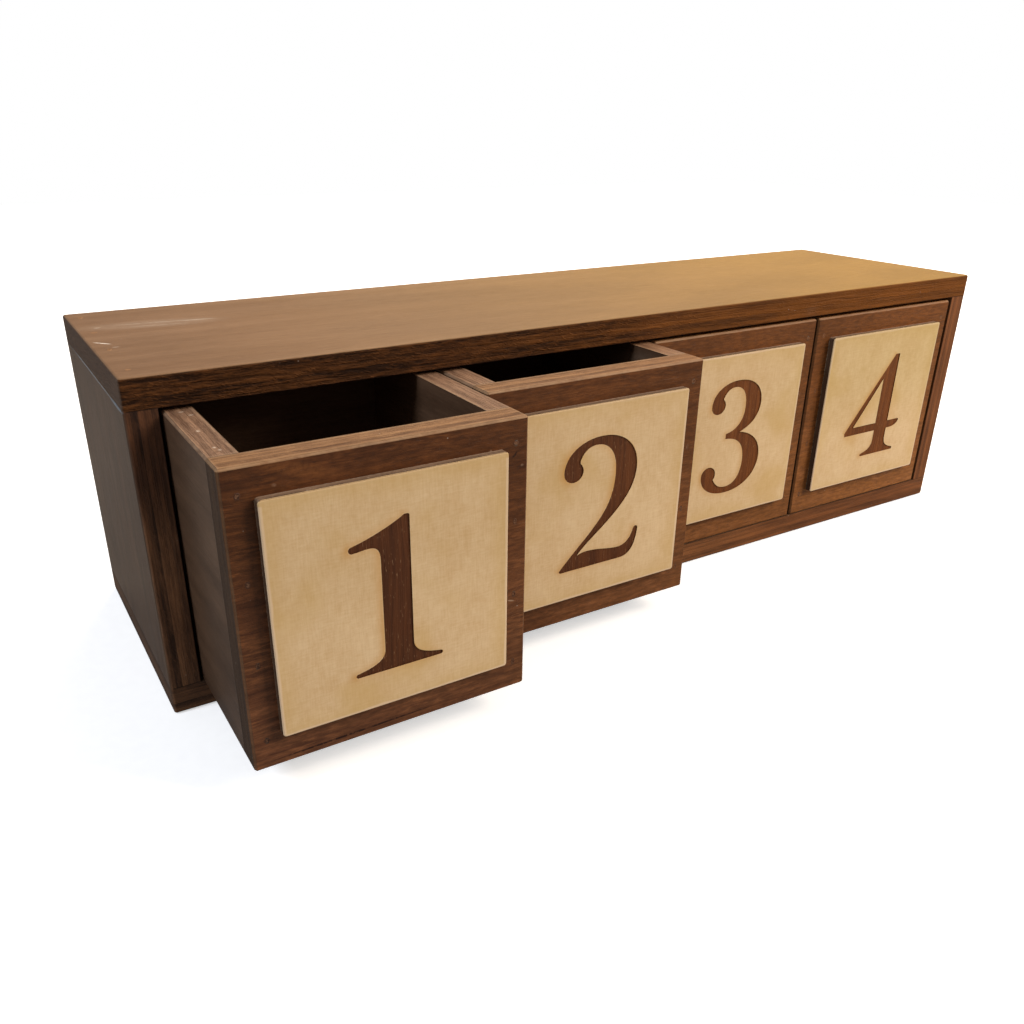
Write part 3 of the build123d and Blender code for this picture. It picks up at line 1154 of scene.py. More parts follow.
@dataclass
class Plate:
    """A plate with a numeral cut into its face.

    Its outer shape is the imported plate's, with its four corners eased. size is how much larger than drawn the
    numeral is, in width and in height, and cut is its depth. round is the radius along the face's edges, and
    corner is the radius of the plate's corners. halo holds the distances from the numeral at which the mesh
    has rings of points, of which those stay that lie at least ring_share of the distance off all its strokes.
    The scorch reaches as far as the last ring and fades with a power of the distance. At the cut it is
    scorch_mean strong, by scorch_lean more on the numeral's left and less on its right, and nowhere more than
    scorch_most.
    """

    node: str
    body: str
    numeral: Numeral
    offset: float
    size: Pair = (1.16, 1.06)
    cut: float = 0.3 * MM
    round: float = 0.4 * MM
    round_steps: int = 4
    corner: float = 1.0 * MM
    corner_steps: int = 5
    halo: tuple[float, ...] = (0.4 * MM, 1.1 * MM, 2.1 * MM, 3.4 * MM)
    ring_share: float = 0.97
    scorch_power: float = 1.6
    scorch_mean: float = 0.3
    scorch_lean: float = 0.45
    scorch_most: float = 0.75

    @property
    def name(self) -> str:
        """The piece's name."""
        return f"{self.node}_engraved"

    def loops(self, middle: Point) -> list[np.ndarray]:
        """Sizes the numeral's outlines and puts them on the plate.

        Args:
            middle: The x and z of the plate's middle.

        Returns:
            The closed outlines, as rows of x and z.
        """
        outlines = [np.array(points) * self.size for points in self.numeral.outlines()]
        low, high = outlines[0].min(0), outlines[0].max(0)
        shift = np.array(middle) - (low + high) / 2 * MM
        # Where two strokes of the pen meet, the outline holds the same point twice.
        apart = [np.linalg.norm(points - np.roll(points, 1, 0), axis=1) > MEETING for points in outlines]
        return [points[keep] * MM + shift for points, keep in zip(outlines, apart)]

    @staticmethod
    def gap(points: np.ndarray, loops: Sequence[np.ndarray]) -> tuple[np.ndarray, np.ndarray]:
        """Measures how far points lie from the outlines.

        Args:
            points: The points, one per row.
            loops: The closed outlines.

        Returns:
            Each point's distance, and the unit direction from the outline to it.
        """
        starts = np.concatenate(loops)
        ends = np.concatenate([np.roll(loop, -1, 0) for loop in loops])
        run = ends - starts
        from_start = points[:, None, :] - starts
        share = np.clip((from_start * run).sum(2) / np.maximum((run * run).sum(1), TINY**2), 0, 1)
        aside = from_start - share[..., None] * run
        lengths = np.linalg.norm(aside, axis=2)
        nearest = lengths.argmin(1)
        rows = np.arange(len(points))
        distance = lengths[rows, nearest]
        return distance, aside[rows, nearest] / np.maximum(distance, TINY)[:, None]

    @staticmethod
    def inside(points: np.ndarray, loops: Sequence[np.ndarray]) -> np.ndarray:
        """Tells which points lie inside the numeral's strokes.

        Args:
            points: The points, one per row.
            loops: The closed outlines.

        Returns:
            For each point, whether an odd number of the outlines goes round it.
        """
        odd = np.zeros(len(points), bool)
        x, z = points[:, 0, None], points[:, 1, None]
        for start in loops:
            end = np.roll(start, -1, 0)
            spans = (start[:, 1] > z) != (end[:, 1] > z)
            rise = np.where(end[:, 1] == start[:, 1], TINY, end[:, 1] - start[:, 1])
            crossing = start[:, 0] + (z - start[:, 1]) / rise * (end[:, 0] - start[:, 0])
            odd ^= (np.sum(spans & (x < crossing), 1) % 2).astype(bool)
        return odd

    def ring_points(self, loops: Sequence[np.ndarray]) -> np.ndarray:
        """Sets points round the numeral at each step of its halo, where the steps have room.

        Args:
            loops: The closed outlines.

        Returns:
            The points, as rows of x and z.
        """
        found = []
        for loop in loops:
            along = np.roll(loop, -1, 0) - np.roll(loop, 1, 0)
            aside = np.stack([along[:, 1], -along[:, 0]], 1)
            aside /= np.linalg.norm(aside, axis=1)[:, None]
            for step in self.halo:
                for way in (1, -1):
                    points = loop + way * step * aside
                    clear = self.gap(points, loops)[0] > step * self.ring_share
                    found.append(points[clear & ~self.inside(points, loops)])
        return np.concatenate(found)

    def scorch(self, distance: np.ndarray, direction: np.ndarray) -> np.ndarray:
        """Returns how browned points at a distance and in a unit direction from the numeral are."""
        fade = np.clip(1 - distance / self.halo[-1], 0, 1) ** self.scorch_power
        return np.clip(fade * (self.scorch_mean - self.scorch_lean * direction[:, 0]), 0, self.scorch_most)

    def outline(self, low: Vector, high: Vector, inset: float) -> np.ndarray:
        """Goes round the plate, with its corners eased.

        Args:
            low: The plate's lowest corner.
            high: Its highest corner.
            inset: How far inside the plate's sides the outline lies.

        Returns:
            The outline, as rows of x and z.
        """
        radius = self.corner - inset
        left, right = low.x + self.corner, high.x - self.corner
        bottom, top = low.z + self.corner, high.z - self.corner
        points = []
        for x, z, start in ((left, bottom, 180), (right, bottom, 270), (right, top, 0), (left, top, 90)):
            for step in range(self.corner_steps):
                angle = math.radians(start + 90 * step / (self.corner_steps - 1))
                points.append((x + radius * math.cos(angle), z + radius * math.sin(angle)))
        return np.array(points)

    @staticmethod
    def band(work: bmesh.types.BMesh, inner: Ring, outline: np.ndarray, y: float, slot: Slot) -> Ring:
        """Adds one band round the plate.

        Args:
            work: The mesh that is being built.
            inner: The ring of points that the band starts from.
            outline: The x and z of the points on its other side.
            y: The depth of its other side.
            slot: The band's material slot.

        Returns:
            The ring of points on its other side.
        """
        outer = [work.verts.new((x, y, z)) for x, z in outline]
        for i in range(len(outer)):
            j = (i + 1) % len(outer)
            work.faces.new((inner[i], inner[j], outer[j], outer[i])).material_index = slot.value
        return outer

    def build(self) -> bpy.types.Object:
        """Builds the plate's mesh.

        Returns:
            The plate, with three material slots for its face, its sides and its numeral.
        """
        low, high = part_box(self.node)
        loops = self.loops(((low.x + high.x) / 2, (low.z + high.z) / 2))
        rim = self.outline(low, high, self.round)
        edges = []
        for loop in (rim, *loops):
            first, count = len(edges), len(loop)
            edges += [(first + i, first + (i + 1) % count) for i in range(count)]
        points = np.concatenate([rim, *loops, self.ring_points(loops)])
        made, _, faces, sources, _, _ = delaunay_2d_cdt([Vector(p) for p in points], edges, [], 0, SAME_PLACE)
        flat = np.array([tuple(p) for p in made])
        sunken = self.inside(np.array([flat[list(face)].mean(0) for face in faces]), loops)
        distance, direction = self.gap(flat, loops)

        work = bmesh.new()
        heat = work.verts.layers.float.new(SCORCH)
        top = [work.verts.new((x, low.y, z)) for x, z in flat]
        on_cut = np.flatnonzero(distance < SAME_PLACE)
        sunk = {i: work.verts.new((flat[i][0], low.y + self.cut, flat[i][1])) for i in on_cut}
        for vert, value in zip(top, self.scorch(distance, direction)):
            vert[heat] = value
        corner_of = {source: i for i, found in enumerate(sources) for source in found}
        for corners, is_floor in zip(faces, sunken):
            face = work.faces.new([sunk[i] if is_floor else top[i] for i in corners])
            face.material_index = Slot.NUMERAL.value if is_floor else Slot.FACE.value
        for start, end in edges[len(rim):]:
            a, b = corner_of[start], corner_of[end]
            work.faces.new((top[a], top[b], sunk[b], sunk[a])).material_index = Slot.NUMERAL.value
        ring = [top[corner_of[i]] for i in range(len(rim))]
        for step in range(1, self.round_steps + 1):
            angle = math.radians(90 * step / self.round_steps)
            inset, back = self.round * (1 - math.sin(angle)), self.round * (1 - math.cos(angle))
            ring = self.band(work, ring, self.outline(low, high, inset), low.y + back, Slot.FACE)
        ring = self.band(work, ring, self.outline(low, high, 0.0), high.y, Slot.SIDE)
        work.faces.new(ring).material_index = Slot.SIDE.value
        bmesh.ops.recalc_face_normals(work, faces=work.faces)
        mesh = bpy.data.meshes.new(self.name)
        work.to_mesh(mesh)
        work.free()
        return mesh_object(self.name, mesh)

    def dress(self, piece: bpy.types.Object, groups: Groups, engraving: bpy.types.Material) -> None:
        """Gives the plate its materials and its place in the frame.

        Args:
            piece: The built plate.
            groups: The shared node groups.
            engraving: The numerals' material.
        """
        piece.data.materials.append(PlateVeneer().material(self.node, self.offset, groups))
        piece.data.materials.append(CutEdge().material(self.node, self.offset, groups))
        piece.data.materials.append(engraving)
        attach(piece, self.body)
        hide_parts(self.node)


def head_places(node: str, outward: Vector) -> Iterator[Vector]:
    """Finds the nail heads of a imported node.

    Args:
        node: The node that holds the nails.
        outward: The way that their heads face.

    Yields:
        The middle of each head.
    """
    head_span, head_flatness = 3 * MM, 0.01 * MM
    corners = [v.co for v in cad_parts[node].data.vertices]
    top = max(co.dot(outward) for co in corners)
    heads: list[list[Vector]] = []
    for co in corners:
        if top - co.dot(outward) > head_flatness:
            continue
        near = next((head for head in heads if (head[0] - co).length < head_span), None)
        if near is None:
            heads.append([co])
        else:
            near.append(co)
    for head in heads:
        yield sum(head, Vector()) / len(head)


@dataclass
class NailMarks:
    """The marks of sunk nails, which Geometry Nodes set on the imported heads.

    Each is a crater that stands on the board: spread is how much their sizes differ, and the shares are those
    of the radius at which the lip and the hollow lie, and of the lip's height at which the hollow's floor
    lies.
    """

    OUTWARD = "outward"

    material: bpy.types.Material
    radius: float = 0.9 * MM
    spread: float = 0.25
    lip_height: float = 0.08 * MM
    lip_share: float = 0.74
    hollow_share: float = 0.52
    floor_share: float = 0.2
    sides: int = 12
    merged_within: float = 0.001 * MM
    tree: bpy.types.GeometryNodeTree = field(init=False)

    def __post_init__(self) -> None:
        """Builds the tree once, for every body's marks."""
        self.tree = self.build_tree()

    def build_tree(self) -> bpy.types.GeometryNodeTree:
        """Builds the tree: a crater on each point, along its outward direction, each a little different.

        Returns:
            The tree, with inputs for the size, its spread, the lip's height, the seed and the material.
        """
        tree = bpy.data.node_groups.new("Nail marks", "GeometryNodeTree")
        tree.interface.new_socket("Geometry", in_out="OUTPUT", socket_type="NodeSocketGeometry")
        for label, kind in (
            ("Geometry", "Geometry"),
            ("Radius", "Float"),
            ("Spread", "Float"),
            ("Lip height", "Float"),
            ("Seed", "Int"),
            ("Material", "Material"),
        ):
            tree.interface.new_socket(label, in_out="INPUT", socket_type=f"NodeSocket{kind}")
        graph = Graph(tree)
        given = graph.add("NodeGroupInput").outputs
        seed = given["Seed"]
        crater = self.crater(graph, given["Radius"], given["Lip height"])
        named = {"Name": self.OUTWARD}
        outward = graph.add("GeometryNodeInputNamedAttribute", named, data_type="FLOAT_VECTOR").outputs[0]
        stand = graph.add("FunctionNodeAlignRotationToVector", {"Vector": outward}, axis="Z")
        turn = graph.add("FunctionNodeRandomValue", {2: 0.0, 3: math.tau, "Seed": seed}, data_type="FLOAT")
        spin = graph.add("FunctionNodeEulerToRotation", {0: graph.joined(0.0, 0.0, turn.outputs[1])})
        turns = {0: stand.outputs[0], 1: spin.outputs[0]}
        both = graph.add("FunctionNodeRotateRotation", turns, rotation_space="LOCAL")
        least, most = graph.minus(1.0, given["Spread"]), graph.plus(1.0, given["Spread"])
        sizes = {0: graph.joined(least, least, least), 1: graph.joined(most, most, most), "Seed": seed}
        size = graph.add("FunctionNodeRandomValue", sizes, data_type="FLOAT_VECTOR")
        placed = graph.add("GeometryNodeInstanceOnPoints", {
            "Points": given["Geometry"],
            "Instance": crater,
            "Rotation": both.outputs[0],
            "Scale": size.outputs[0],
        })
        real = graph.add("GeometryNodeRealizeInstances", {"Geometry": placed.outputs[0]})
        dressing = {"Geometry": real.outputs[0], "Material": given["Material"]}
        dressed = graph.add("GeometryNodeSetMaterial", dressing)
        graph.add("NodeGroupOutput", {0: dressed.outputs[0]})
        return tree

    def crater(self, graph: Graph, radius: Socket, height: Socket) -> Socket:
        """Adds the nodes of one crater: an outer slope, a lip and a shallow hollow.

        Args:
            graph: The tree.
            radius: The crater's radius.
            height: The lip's height.

        Returns:
            The crater's geometry.
        """
        lip = graph.times(radius, self.lip_share)
        hollow = graph.times(radius, self.hollow_share)
        floor = graph.times(height, self.floor_share)
        slope, bowl = (
            graph.add("GeometryNodeMeshCone", {
                "Vertices": self.sides,
                "Radius Top": lip,
                "Radius Bottom": foot_radius,
                "Depth": depth,
            }, fill_type="NONE")
            for foot_radius, depth in ((radius, height), (hollow, graph.minus(height, floor)))
        )
        disc, base = (
            graph.add("GeometryNodeMeshCircle", {"Vertices": self.sides, "Radius": size}, fill_type="NGON")
            for size in (hollow, radius)
        )
        lift = graph.joined(0.0, 0.0, floor)
        raised, seat = (
            graph.add("GeometryNodeTransform", {"Geometry": part.outputs[0], "Translation": lift})
            for part in (bowl, disc)
        )
        # The cone's faces point outwards, so those of the hollow are turned, and so is the base's.
        turned, under = (
            graph.add("GeometryNodeFlipFaces", {"Mesh": part.outputs[0]}) for part in (raised, base)
        )
        marking = {"Geometry": seat.outputs[0], "Name": HOLLOW, "Value": 1.0}
        dark = graph.add("GeometryNodeStoreNamedAttribute", marking, domain="POINT")
        joined = graph.add("GeometryNodeJoinGeometry")
        for part in (slope, turned, dark, under):
            graph.feed(joined.inputs[0], part.outputs[0])
        merging = {"Geometry": joined.outputs[0], "Distance": self.merged_within}
        return graph.add("GeometryNodeMergeByDistance", merging).outputs[0]

    def set_on(self, name: str, body: str, nails: dict[str, Vector], seed: int) -> bpy.types.Object:
        """Makes one body's marks as a plain mesh.

        Args:
            name: The piece's name.
            body: The body that it rides on.
            nails: Each node of nails, and the way that its heads face.
            seed: The seed of this body's marks.

        Returns:
            The piece.
        """
        heads = [(place, outward) for node, outward in nails.items() for place in head_places(node, outward)]
        mesh = bpy.data.meshes.new(f"{name}_points")
        mesh.from_pydata([place for place, _ in heads], [], [])
        ways = mesh.attributes.new(self.OUTWARD, "FLOAT_VECTOR", "POINT")
        ways.data.foreach_set("vector", [number for _, outward in heads for number in outward])
        # Painted light: how much paler the lip of each mark is, from how far its head faces up.
        painted_top_light = mesh.attributes.new(PAINTED_TOP_LIGHT, "FLOAT", "POINT")
        painted_top_light.data.foreach_set("value", [max(outward.z, 0.0) for _, outward in heads])
        maker = mesh_object(f"{name}_points", mesh)
        modifier = maker.modifiers.new("Nail marks", "NODES")
        modifier.node_group = self.tree
        wanted = {
            "Radius": self.radius,
            "Spread": self.spread,
            "Lip height": self.lip_height,
            "Seed": seed,
            "Material": self.material,
        }
        for item in self.tree.interface.items_tree:
            if item.item_type == "SOCKET" and item.in_out == "INPUT" and item.name in wanted:
                modifier[item.identifier] = wanted[item.name]
        shown = maker.evaluated_get(bpy.context.evaluated_depsgraph_get())
        made = bpy.data.meshes.new_from_object(shown)
        made.name = name
        bpy.data.objects.remove(maker)
        piece = mesh_object(name, made)
        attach(piece, body)
        return piece


CARCASS_PLY = StainedPly(
    light="#573e2c",
    dark="#432e20",
    figure="#674a35",
    edge_light="#654029",
    edge_dark="#2a180f",
    worn="#7d6a5a",
    warm="#704a2e",
    end="#4d3a2c",
    warm_strength=0.5,
    warm_edge=(2.3, 2.0, 1.35),
    lower_left_edge=(2.2, 2.6, 2.8),
    low_gains=(1.3, 1.45, 1.55),
    streaks=(0.06, 0.008, 0.01),
    figure_strength=0.12,
    fibre_strength=0.06,
    pore_strength=0.1,
    waver=0.12,
    torn=0.3,
    fine=(0.4, 0.9),
    roughness=0.45,
)
# The top's tones are lighter than the other boards' partly as painted light, for the light that falls on the
# top.
TOP_PLY = StainedPly(
    light="#917054",
    dark="#7f5f44",
    figure="#9c7854",
    edge_light="#694020",
    edge_dark="#2b180c",
    worn="#8a6b4e",
    warm="#ae884a",
    end="#5c4a3e",
    end_strength=0.85,
    warm_strength=0.9,
    warm_edge=(2.17, 1.91, 0.92),
    streaks=(0.25, 0.010, 0.01),
    cloud_strength=0.06,
    mottle_strength=0.05,
    figure_strength=0.16,
    fibre_strength=0.07,
    pore_strength=0.08,
    worn_strength=0.3,
    waver=0.35,
    torn=0.8,
    evened=0.65,
    fine=(0.75, 0.45),
    roughness=0.45,
    specular=0.08,
    edge_relief=0.0003,
)
# The plies' tones are pale partly as painted light, for the light that falls on the upward rims.
FRONT_PLY = StainedPly(
    light="#673d24",
    dark="#402113",
    figure="#83502e",
    edge_light="#a27851",
    edge_dark="#5f3e27",
    worn="#bf9a74",
    warm="#88501f",
    end="#33271f",
    end_strength=0.85,
    warm_strength=0.62,
    warm_edge=(1.2, 1.1, 0.9),
    low_gains=(1.5, 1.7, 1.95),
    high_gains=(0.96, 0.94, 0.76),
    mottle_strength=0.24,
    figure_strength=0.5,
    pore_strength=0.45,
    waver=0.3,
    torn=0.5,
    edge_relief=0.0002,
)
# The plies' tones are pale partly as painted light, for the light that falls on the upward rims.
WALL_PLY = StainedPly(
    light="#624a38",
    dark="#4d3829",
    figure="#725a46",
    edge_light="#967359",
    edge_dark="#5e4230",
    worn="#b89676",
    warm="#5c4028",
    end="#33271f",
    warm_strength=0.3,
    warm_edge=(1.35, 1.2, 0.95),
    streaks=(0.06, 0.008, 0.01),
    figure_strength=0.12,
    fibre_strength=0.06,
    pore_strength=0.1,
    waver=0.3,
    torn=0.5,
    roughness=0.45,
    edge_relief=0.0002,
)
PANEL_PLY = StainedPly(
    light="#5a4434",
    dark="#463425",
    figure="#685242",
    edge_light="#7a5d45",
    edge_dark="#4b3526",
    worn="#7a5d45",
    warm="#5c4028",
    figure_strength=0.2,
    roughness=0.55,
)


class Workshop:
    """What the sub-assemblies share: the node groups, the single finishes and the tree of the nail marks."""

    def __init__(self) -> None:
        """Builds each of them once."""
        self.groups = Groups()
        self.steel = StainedSteel().material()
        self.engraving = Engraving().material(self.groups)
        self.marks = NailMarks(NailMark().material(self.groups))
        self.offset = 0.0

    def next_offset(self) -> float:
        """Returns a shift of the pattern that no board has yet."""
        self.offset += STEP_OF_PATTERN
        return self.offset


class SubAssembly(ABC):
    """What the carcass and the drawers have in common: packed boards, nails and the nails' marks."""

    seed: int

    @property
    @abstractmethod
    def body(self) -> str:
        """The body of the frame that the sub-assembly is."""

    @abstractmethod
    def boards(self) -> list[tuple[Board, StainedPly]]:
        """Returns each board with its finish."""

    @abstractmethod
    def nails(self) -> dict[str, Vector]:
        """Returns each node of nails and the way that its heads face."""

    def dress(self, shop: Workshop) -> None:
        """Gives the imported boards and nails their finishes.

        Args:
            shop: What the sub-assemblies share.
        """
        finishes = [
            (board.node, StainedBoard(ply, board, shop.next_offset(), shop.groups).build())
            for board, ply in self.boards()
        ]
        for node, material in finishes + [(node, shop.steel) for node in self.nails()]:
            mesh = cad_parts[node].data
            mesh.materials.clear()
            mesh.materials.append(material)
            log.info("%s: %s", node, material.name)

    def mark_nails(self, shop: Workshop) -> bpy.types.Object:
        """Makes the marks of the sunk nails, and returns them as one piece."""
        return shop.marks.set_on(f"{self.body}_nail_marks", self.body, self.nails(), self.seed)


@dataclass
class Carcass(SubAssembly):
    """The fixed boards, back panel and nails, with their scuffs, painted seam highlights and the nail marks'
    seed.
    """

    seed: int = 7
    top_marks: tuple[Mark, ...] = (
        Mark((-0.1955, -0.0040, 0.1165), (0.67, -0.74, 0.0), 0.0085, 0.0013, 0.85, "#f0e2d4"),
        Mark((-0.1925, -0.0117, 0.1165), (1.0, 0.0, 0.0), 0.0030, 0.0015, 0.35),
        Mark((-0.1928, 0.0219, 0.1165), (1.0, 0.0, 0.0), 0.0030, 0.0018, 0.40),
        Mark((-0.1800, 0.0226, 0.1165), (0.993, -0.118, 0.0), 0.0160, 0.0026, 0.12),
        Mark((-0.1700, 0.0216, 0.1165), (0.993, -0.118, 0.0), 0.0150, 0.0030, 0.20),
        Mark((-0.1590, 0.0200, 0.1165), (0.993, -0.118, 0.0), 0.0180, 0.0022, 0.34),
        Mark((-0.1730, 0.0170, 0.1165), (0.993, -0.118, 0.0), 0.0260, 0.0030, 0.12),
        Mark((-0.1740, 0.0200, 0.1165), (0.993, -0.118, 0.0), 0.0600, 0.0170, 0.12),
    )
    side_marks: tuple[Mark, ...] = (
        Mark((-0.2, -0.0090, 0.080), (0.0, 0.1, 0.995), 0.040, 0.0050, 0.12, "#8f8378"),
        Mark((-0.2, 0.0140, 0.055), (0.0, 0.0, 1.0), 0.060, 0.0080, 0.10, "#8f8378"),
        Mark((-0.2, -0.0330, 0.018), (0.0, 0.1, 0.995), 0.030, 0.0060, 0.14, "#8f8378"),
    )
    # Painted highlights: pale bluish lines along the left seam, where a narrow ledge would catch the light.
    seam_highlights: tuple[Mark, ...] = (
        Mark((-0.2, -0.0020, 0.1065), (0.0, 1.0, 0.0), 0.104, 0.0009, 0.70, "#a9abac"),
        Mark((-0.2, -0.0440, 0.1063), (0.0, 1.0, 0.0), 0.022, 0.0018, 0.70, "#8e9aa4"),
    )

    @property
    def body(self) -> str:
        """The carcass's body in the frame."""
        return "carcass"

    def boards(self) -> list[tuple[Board, StainedPly]]:
        """Returns each board with its finish."""
        return [
            (Board("top_board", Axis.Z, Axis.X, marks=self.top_marks + self.seam_highlights), TOP_PLY),
            (Board("bottom_board", Axis.Z, Axis.X), CARCASS_PLY),
            (Board("left_side_board", Axis.X, Axis.Z, marks=self.side_marks + self.seam_highlights), CARCASS_PLY),
            (Board("right_side_board", Axis.X, Axis.Z), CARCASS_PLY),
            (Board("back_panel", Axis.Y, Axis.X, layers=3), PANEL_PLY),
        ]

    def nails(self) -> dict[str, Vector]:
        """Returns the carcass's nodes of nails and the way that each node's heads face."""
        return {
            "top_board_brads": Vector((0, 0, 1)),
            "bottom_board_brads": Vector((0, 0, -1)),
            "back_panel_pins": Vector((0, 1, 0)),
        }


@dataclass
class Drawer(SubAssembly):
    """One drawer: its boards, nails and engraved plate, with its scuffs, painted wall light and the nail marks'
    seed.
    """

    number: int
    numeral: Numeral
    front_marks: tuple[Mark, ...] = ()
    rim_marks: tuple[Mark, ...] = ()
    wall_painted_light: tuple[Mark, ...] = ()
    seed: int = 8

    @property
    def body(self) -> str:
        """The drawer's body in the frame."""
        return f"drawer_{self.number}"

    def boards(self) -> list[tuple[Board, StainedPly]]:
        """Returns each board with its finish."""
        return [
            (Board(f"{self.body}_front", Axis.Y, Axis.X, marks=self.front_marks), FRONT_PLY),
            (Board(f"{self.body}_left_side", Axis.X, Axis.Y, marks=self.rim_marks), WALL_PLY),
            (Board(f"{self.body}_right_side", Axis.X, Axis.Y, marks=self.wall_painted_light), WALL_PLY),
            (Board(f"{self.body}_back", Axis.Y, Axis.X), WALL_PLY),
            (Board(f"{self.body}_bottom_panel", Axis.Z, Axis.X, layers=3), PANEL_PLY),
        ]

    def nails(self) -> dict[str, Vector]:
        """Returns the drawer's nodes of nails and the way that each node's heads face."""
        return {
            f"{self.body}_front_brads": Vector((0, -1, 0)),
            f"{self.body}_back_brads": Vector((0, 1, 0)),
        }

    def add_plate(self, shop: Workshop) -> bpy.types.Object:
        """Builds and dresses the drawer's plate.

        Args:
            shop: What the sub-assemblies share.

        Returns:
            The plate.
        """
        plate = Plate(f"{self.body}_plate", self.body, self.numeral, self.number * STEP_OF_PATTERN)
        piece = plate.build()
        plate.dress(piece, shop.groups, shop.engraving)
        return piece


FIRST_FRONT_MARKS = (
    Mark((-0.1580, -0.1099, 0.0126), (1.0, 0.0, 0.013), 0.0680, 0.0010, 0.95, "#24100a"),
    Mark((-0.1001, -0.1099, 0.0934), (0.7, 0.0, 0.7), 0.0030, 0.0010, 0.90, "#1c0f08"),
    Mark((-0.1008, -0.1099, 0.0434), (0.96, 0.0, -0.28), 0.0034, 0.0007, 0.70, "#b89a80"),
    Mark((-0.1744, -0.1099, 0.0982), (1.0, 0.0, 0.0), 0.0016, 0.0012, 0.45, "#a08068"),
    Mark((-0.1086, -0.1099, 0.0957), (0.0, 0.0, 1.0), 0.0018, 0.0010, 0.55, "#a08068"),
    Mark((-0.0975, -0.1099, 0.0896), (1.0, 0.0, 0.0), 0.0014, 0.0010, 0.50, "#a08068"),
    Mark((-0.1670, -0.1099, 0.1012), (0.96, 0.0, -0.28), 0.0260, 0.0050, 0.35, "#8a552c"),
)
FIRST_RIM_MARKS = (
    Mark((-0.1840, -0.0558, 0.105), (1.0, 0.0, 0.0), 0.0020, 0.0013, 0.50, "#e0cbb6"),
    Mark((-0.1822, -0.0602, 0.105), (1.0, 0.0, 0.0), 0.0018, 0.0013, 0.55, "#e0cbb6"),
    Mark((-0.1844, -0.0764, 0.105), (0.0, 1.0, 0.0), 0.0024, 0.0014, 0.50, "#e0cbb6"),
    Mark((-0.1843, -0.0925, 0.105), (0.0, 1.0, 0.0), 0.0018, 0.0012, 0.60, "#e0cbb6"),
    Mark((-0.1835, -0.0950, 0.105), (0.0, 1.0, 0.0), 0.0018, 0.0012, 0.60, "#e0cbb6"),
    Mark((-0.1850, -0.0965, 0.105), (0.6, 0.8, 0.0), 0.0030, 0.0018, 0.50, "#5a3d2a"),
)
# Painted light: a pale patch on drawer 2's inner right wall, where the top board keeps the left lamp's light
# off.
SECOND_WALL_PAINTED_LIGHT = (Mark((-0.0096, -0.0600, 0.0905), (0.0, 1.0, 0.0), 0.0500, 0.0290, 0.35, "#94806c"),)


@dataclass(frozen=True)
class Lamp:
    """One square soft lamp: its place, the length of its sides, its power in watts and its colour."""

    name: str
    place: Triple
    size: float
    power: float
    tint: str

    def hang(self, target: Triple) -> None:
        """Hangs the lamp.

        Args:
            target: What it faces.
        """
        data = bpy.data.lights.new(self.name, "AREA")
        data.size = self.size
        data.energy = self.power
        data.color = shade(self.tint)[:3]
        lamp = bpy.data.objects.new(self.name, data)
        aim = (Vector(target) - Vector(self.place)).to_track_quat("-Z", "Y")
        lamp.matrix_world = Matrix.Translation(self.place) @ aim.to_matrix().to_4x4()
        bpy.context.scene.collection.objects.link(lamp)


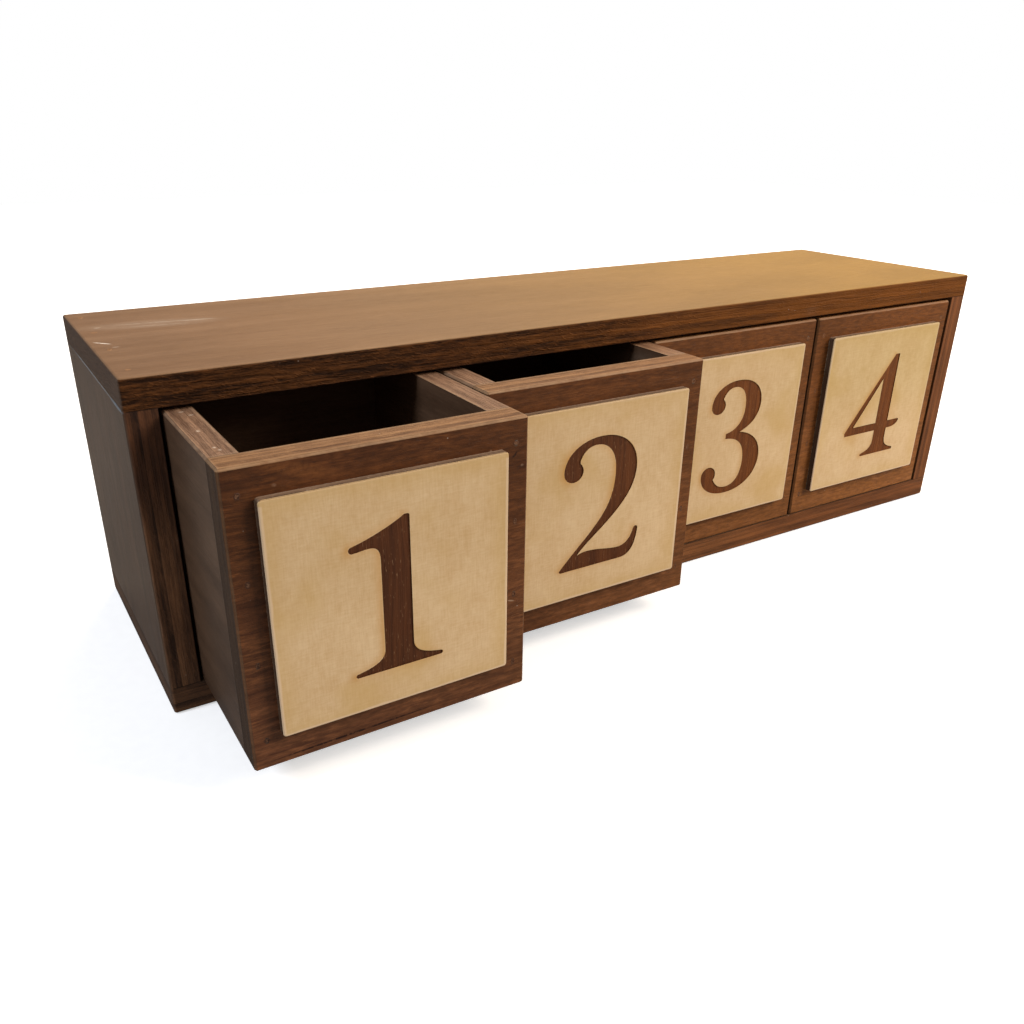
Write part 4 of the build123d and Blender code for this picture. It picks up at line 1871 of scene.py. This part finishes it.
@dataclass
class Studio:
    """A plain pale floor, soft lamps and the photograph's camera.

    paper is the floor's two tones as the camera sees them, and bounce is its tone for all other light. glow
    is how much the floor shines for the camera, near the object and far off, where less of the lamps' light
    falls, and glow_reach says how near and how far. The camera turns to the right of +Y, tilts above the
    horizon and rolls with its right side up, each in degrees. Its lens and its sensor are in millimetres.
    """

    floor_size: float = 4.0
    floor_drop: float = 0.0002
    paper: tuple[str, str] = ("#f0f0f0", "#f5f5f5")
    bounce: str = "#9a9894"
    glow: Pair = (0.55, 1.1)
    glow_reach: Pair = (0.35, 1.2)
    sky: float = 0.22
    target: Triple = (0.0, 0.0, 0.05)
    lamps: tuple[Lamp, ...] = (
        Lamp("above", (0.5, 0.6, 1.0), 0.9, 10.0, "#ffe9cc"),
        Lamp("front_right", (1.05, -0.85, 0.98), 0.8, 26.0, "#fff3e4"),
        Lamp("left", (-1.3, -0.1, 1.15), 0.5, 13.0, "#eaf2ff"),
    )
    camera_place: Triple = (-0.23916, -0.32908, 0.18601)
    camera_yaw: float = 31.515
    camera_pitch: float = -25.176
    camera_roll: float = 0.538
    lens: float = 31.97
    sensor: float = 36.0
    nearest: float = 0.01
    shift: Pair = (0.01068, 0.02984)

    def floor(self) -> None:
        """Lays the floor, which looks white where nothing shades it."""
        half, level = self.floor_size / 2, -self.floor_drop
        mesh = bpy.data.meshes.new("floor")
        corners = [(x, y, level) for x, y in ((-half, -half), (half, -half), (half, half), (-half, half))]
        mesh.from_pydata(corners, [], [(0, 1, 2, 3)])
        material = bpy.data.materials.new("pale_floor")
        material.use_nodes = True
        graph = Graph(material.node_tree)
        graph.tree.nodes.remove(graph.tree.nodes["Principled BSDF"])
        point = graph.point()
        fibres = graph.cloud(point, (0.004, 0.004, 0.004))
        seen = graph.add("ShaderNodeLightPath").outputs["Is Camera Ray"]
        pale = graph.blend(fibres, self.paper[0], self.paper[1])
        diffuse = graph.add("ShaderNodeBsdfDiffuse", {"Color": graph.blend(seen, self.bounce, pale)})
        flat = graph.vector("MULTIPLY", point, (1.0, 1.0, 0.0))
        far = graph.math("SQRT", graph.dot(flat, flat))
        strength = graph.times(seen, graph.ease(far, *self.glow_reach, *self.glow))
        emission = graph.add("ShaderNodeEmission", {"Color": shade("#ffffff"), "Strength": strength})
        both = graph.add("ShaderNodeAddShader", {0: diffuse.outputs[0], 1: emission.outputs[0]})
        output = next(n for n in graph.tree.nodes if n.type == "OUTPUT_MATERIAL")
        graph.feed(output.inputs["Surface"], both.outputs[0])
        mesh.materials.append(material)
        mesh_object("floor", mesh)

    def world(self) -> None:
        """Lights everything evenly, and shows white behind the object."""
        world = bpy.data.worlds.new("studio")
        bpy.context.scene.world = world
        world.use_nodes = True
        graph = Graph(world.node_tree)
        background = graph.tree.nodes["Background"].inputs
        background["Color"].default_value = shade("#ffffff")
        seen = graph.add("ShaderNodeLightPath").outputs["Is Camera Ray"]
        graph.feed(background["Strength"], graph.ease(seen, 0.0, 1.0, self.sky, 1.0))

    def camera(self) -> None:
        """Sets up the camera at the photograph's place."""
        data = bpy.data.cameras.new("camera")
        data.sensor_width = self.sensor
        data.lens = self.lens
        data.shift_x, data.shift_y = self.shift
        data.clip_start = self.nearest
        camera = bpy.data.objects.new("camera", data)
        turn = Matrix.Rotation(math.radians(-self.camera_yaw), 4, "Z")
        tilt = Matrix.Rotation(math.radians(90 + self.camera_pitch), 4, "X")
        roll = Matrix.Rotation(math.radians(self.camera_roll), 4, "Z")
        camera.matrix_world = Matrix.Translation(self.camera_place) @ turn @ tilt @ roll
        bpy.context.scene.collection.objects.link(camera)
        bpy.context.scene.camera = camera

    def build(self) -> None:
        """Builds the whole studio."""
        bpy.context.scene.view_settings.view_transform = "Standard"
        self.floor()
        self.world()
        for lamp in self.lamps:
            lamp.hang(self.target)
        self.camera()


def main() -> None:
    logging.basicConfig(level=logging.INFO, format="%(message)s")
    shop = Workshop()
    carcass = Carcass()
    drawers = (
        Drawer(1, Numeral.ONE, FIRST_FRONT_MARKS, FIRST_RIM_MARKS),
        Drawer(2, Numeral.TWO, wall_painted_light=SECOND_WALL_PAINTED_LIGHT),
        Drawer(3, Numeral.THREE),
        Drawer(4, Numeral.FOUR),
    )
    pieces = []
    for part in (carcass, *drawers):
        part.dress(shop)
        pieces.append(part.mark_nails(shop))
    pieces += [drawer.add_plate(shop) for drawer in drawers]
    for piece in pieces:
        log.info("%s: %d faces", piece.name, len(piece.data.polygons))
    Studio().build()


if __name__ == "__main__":
    main()
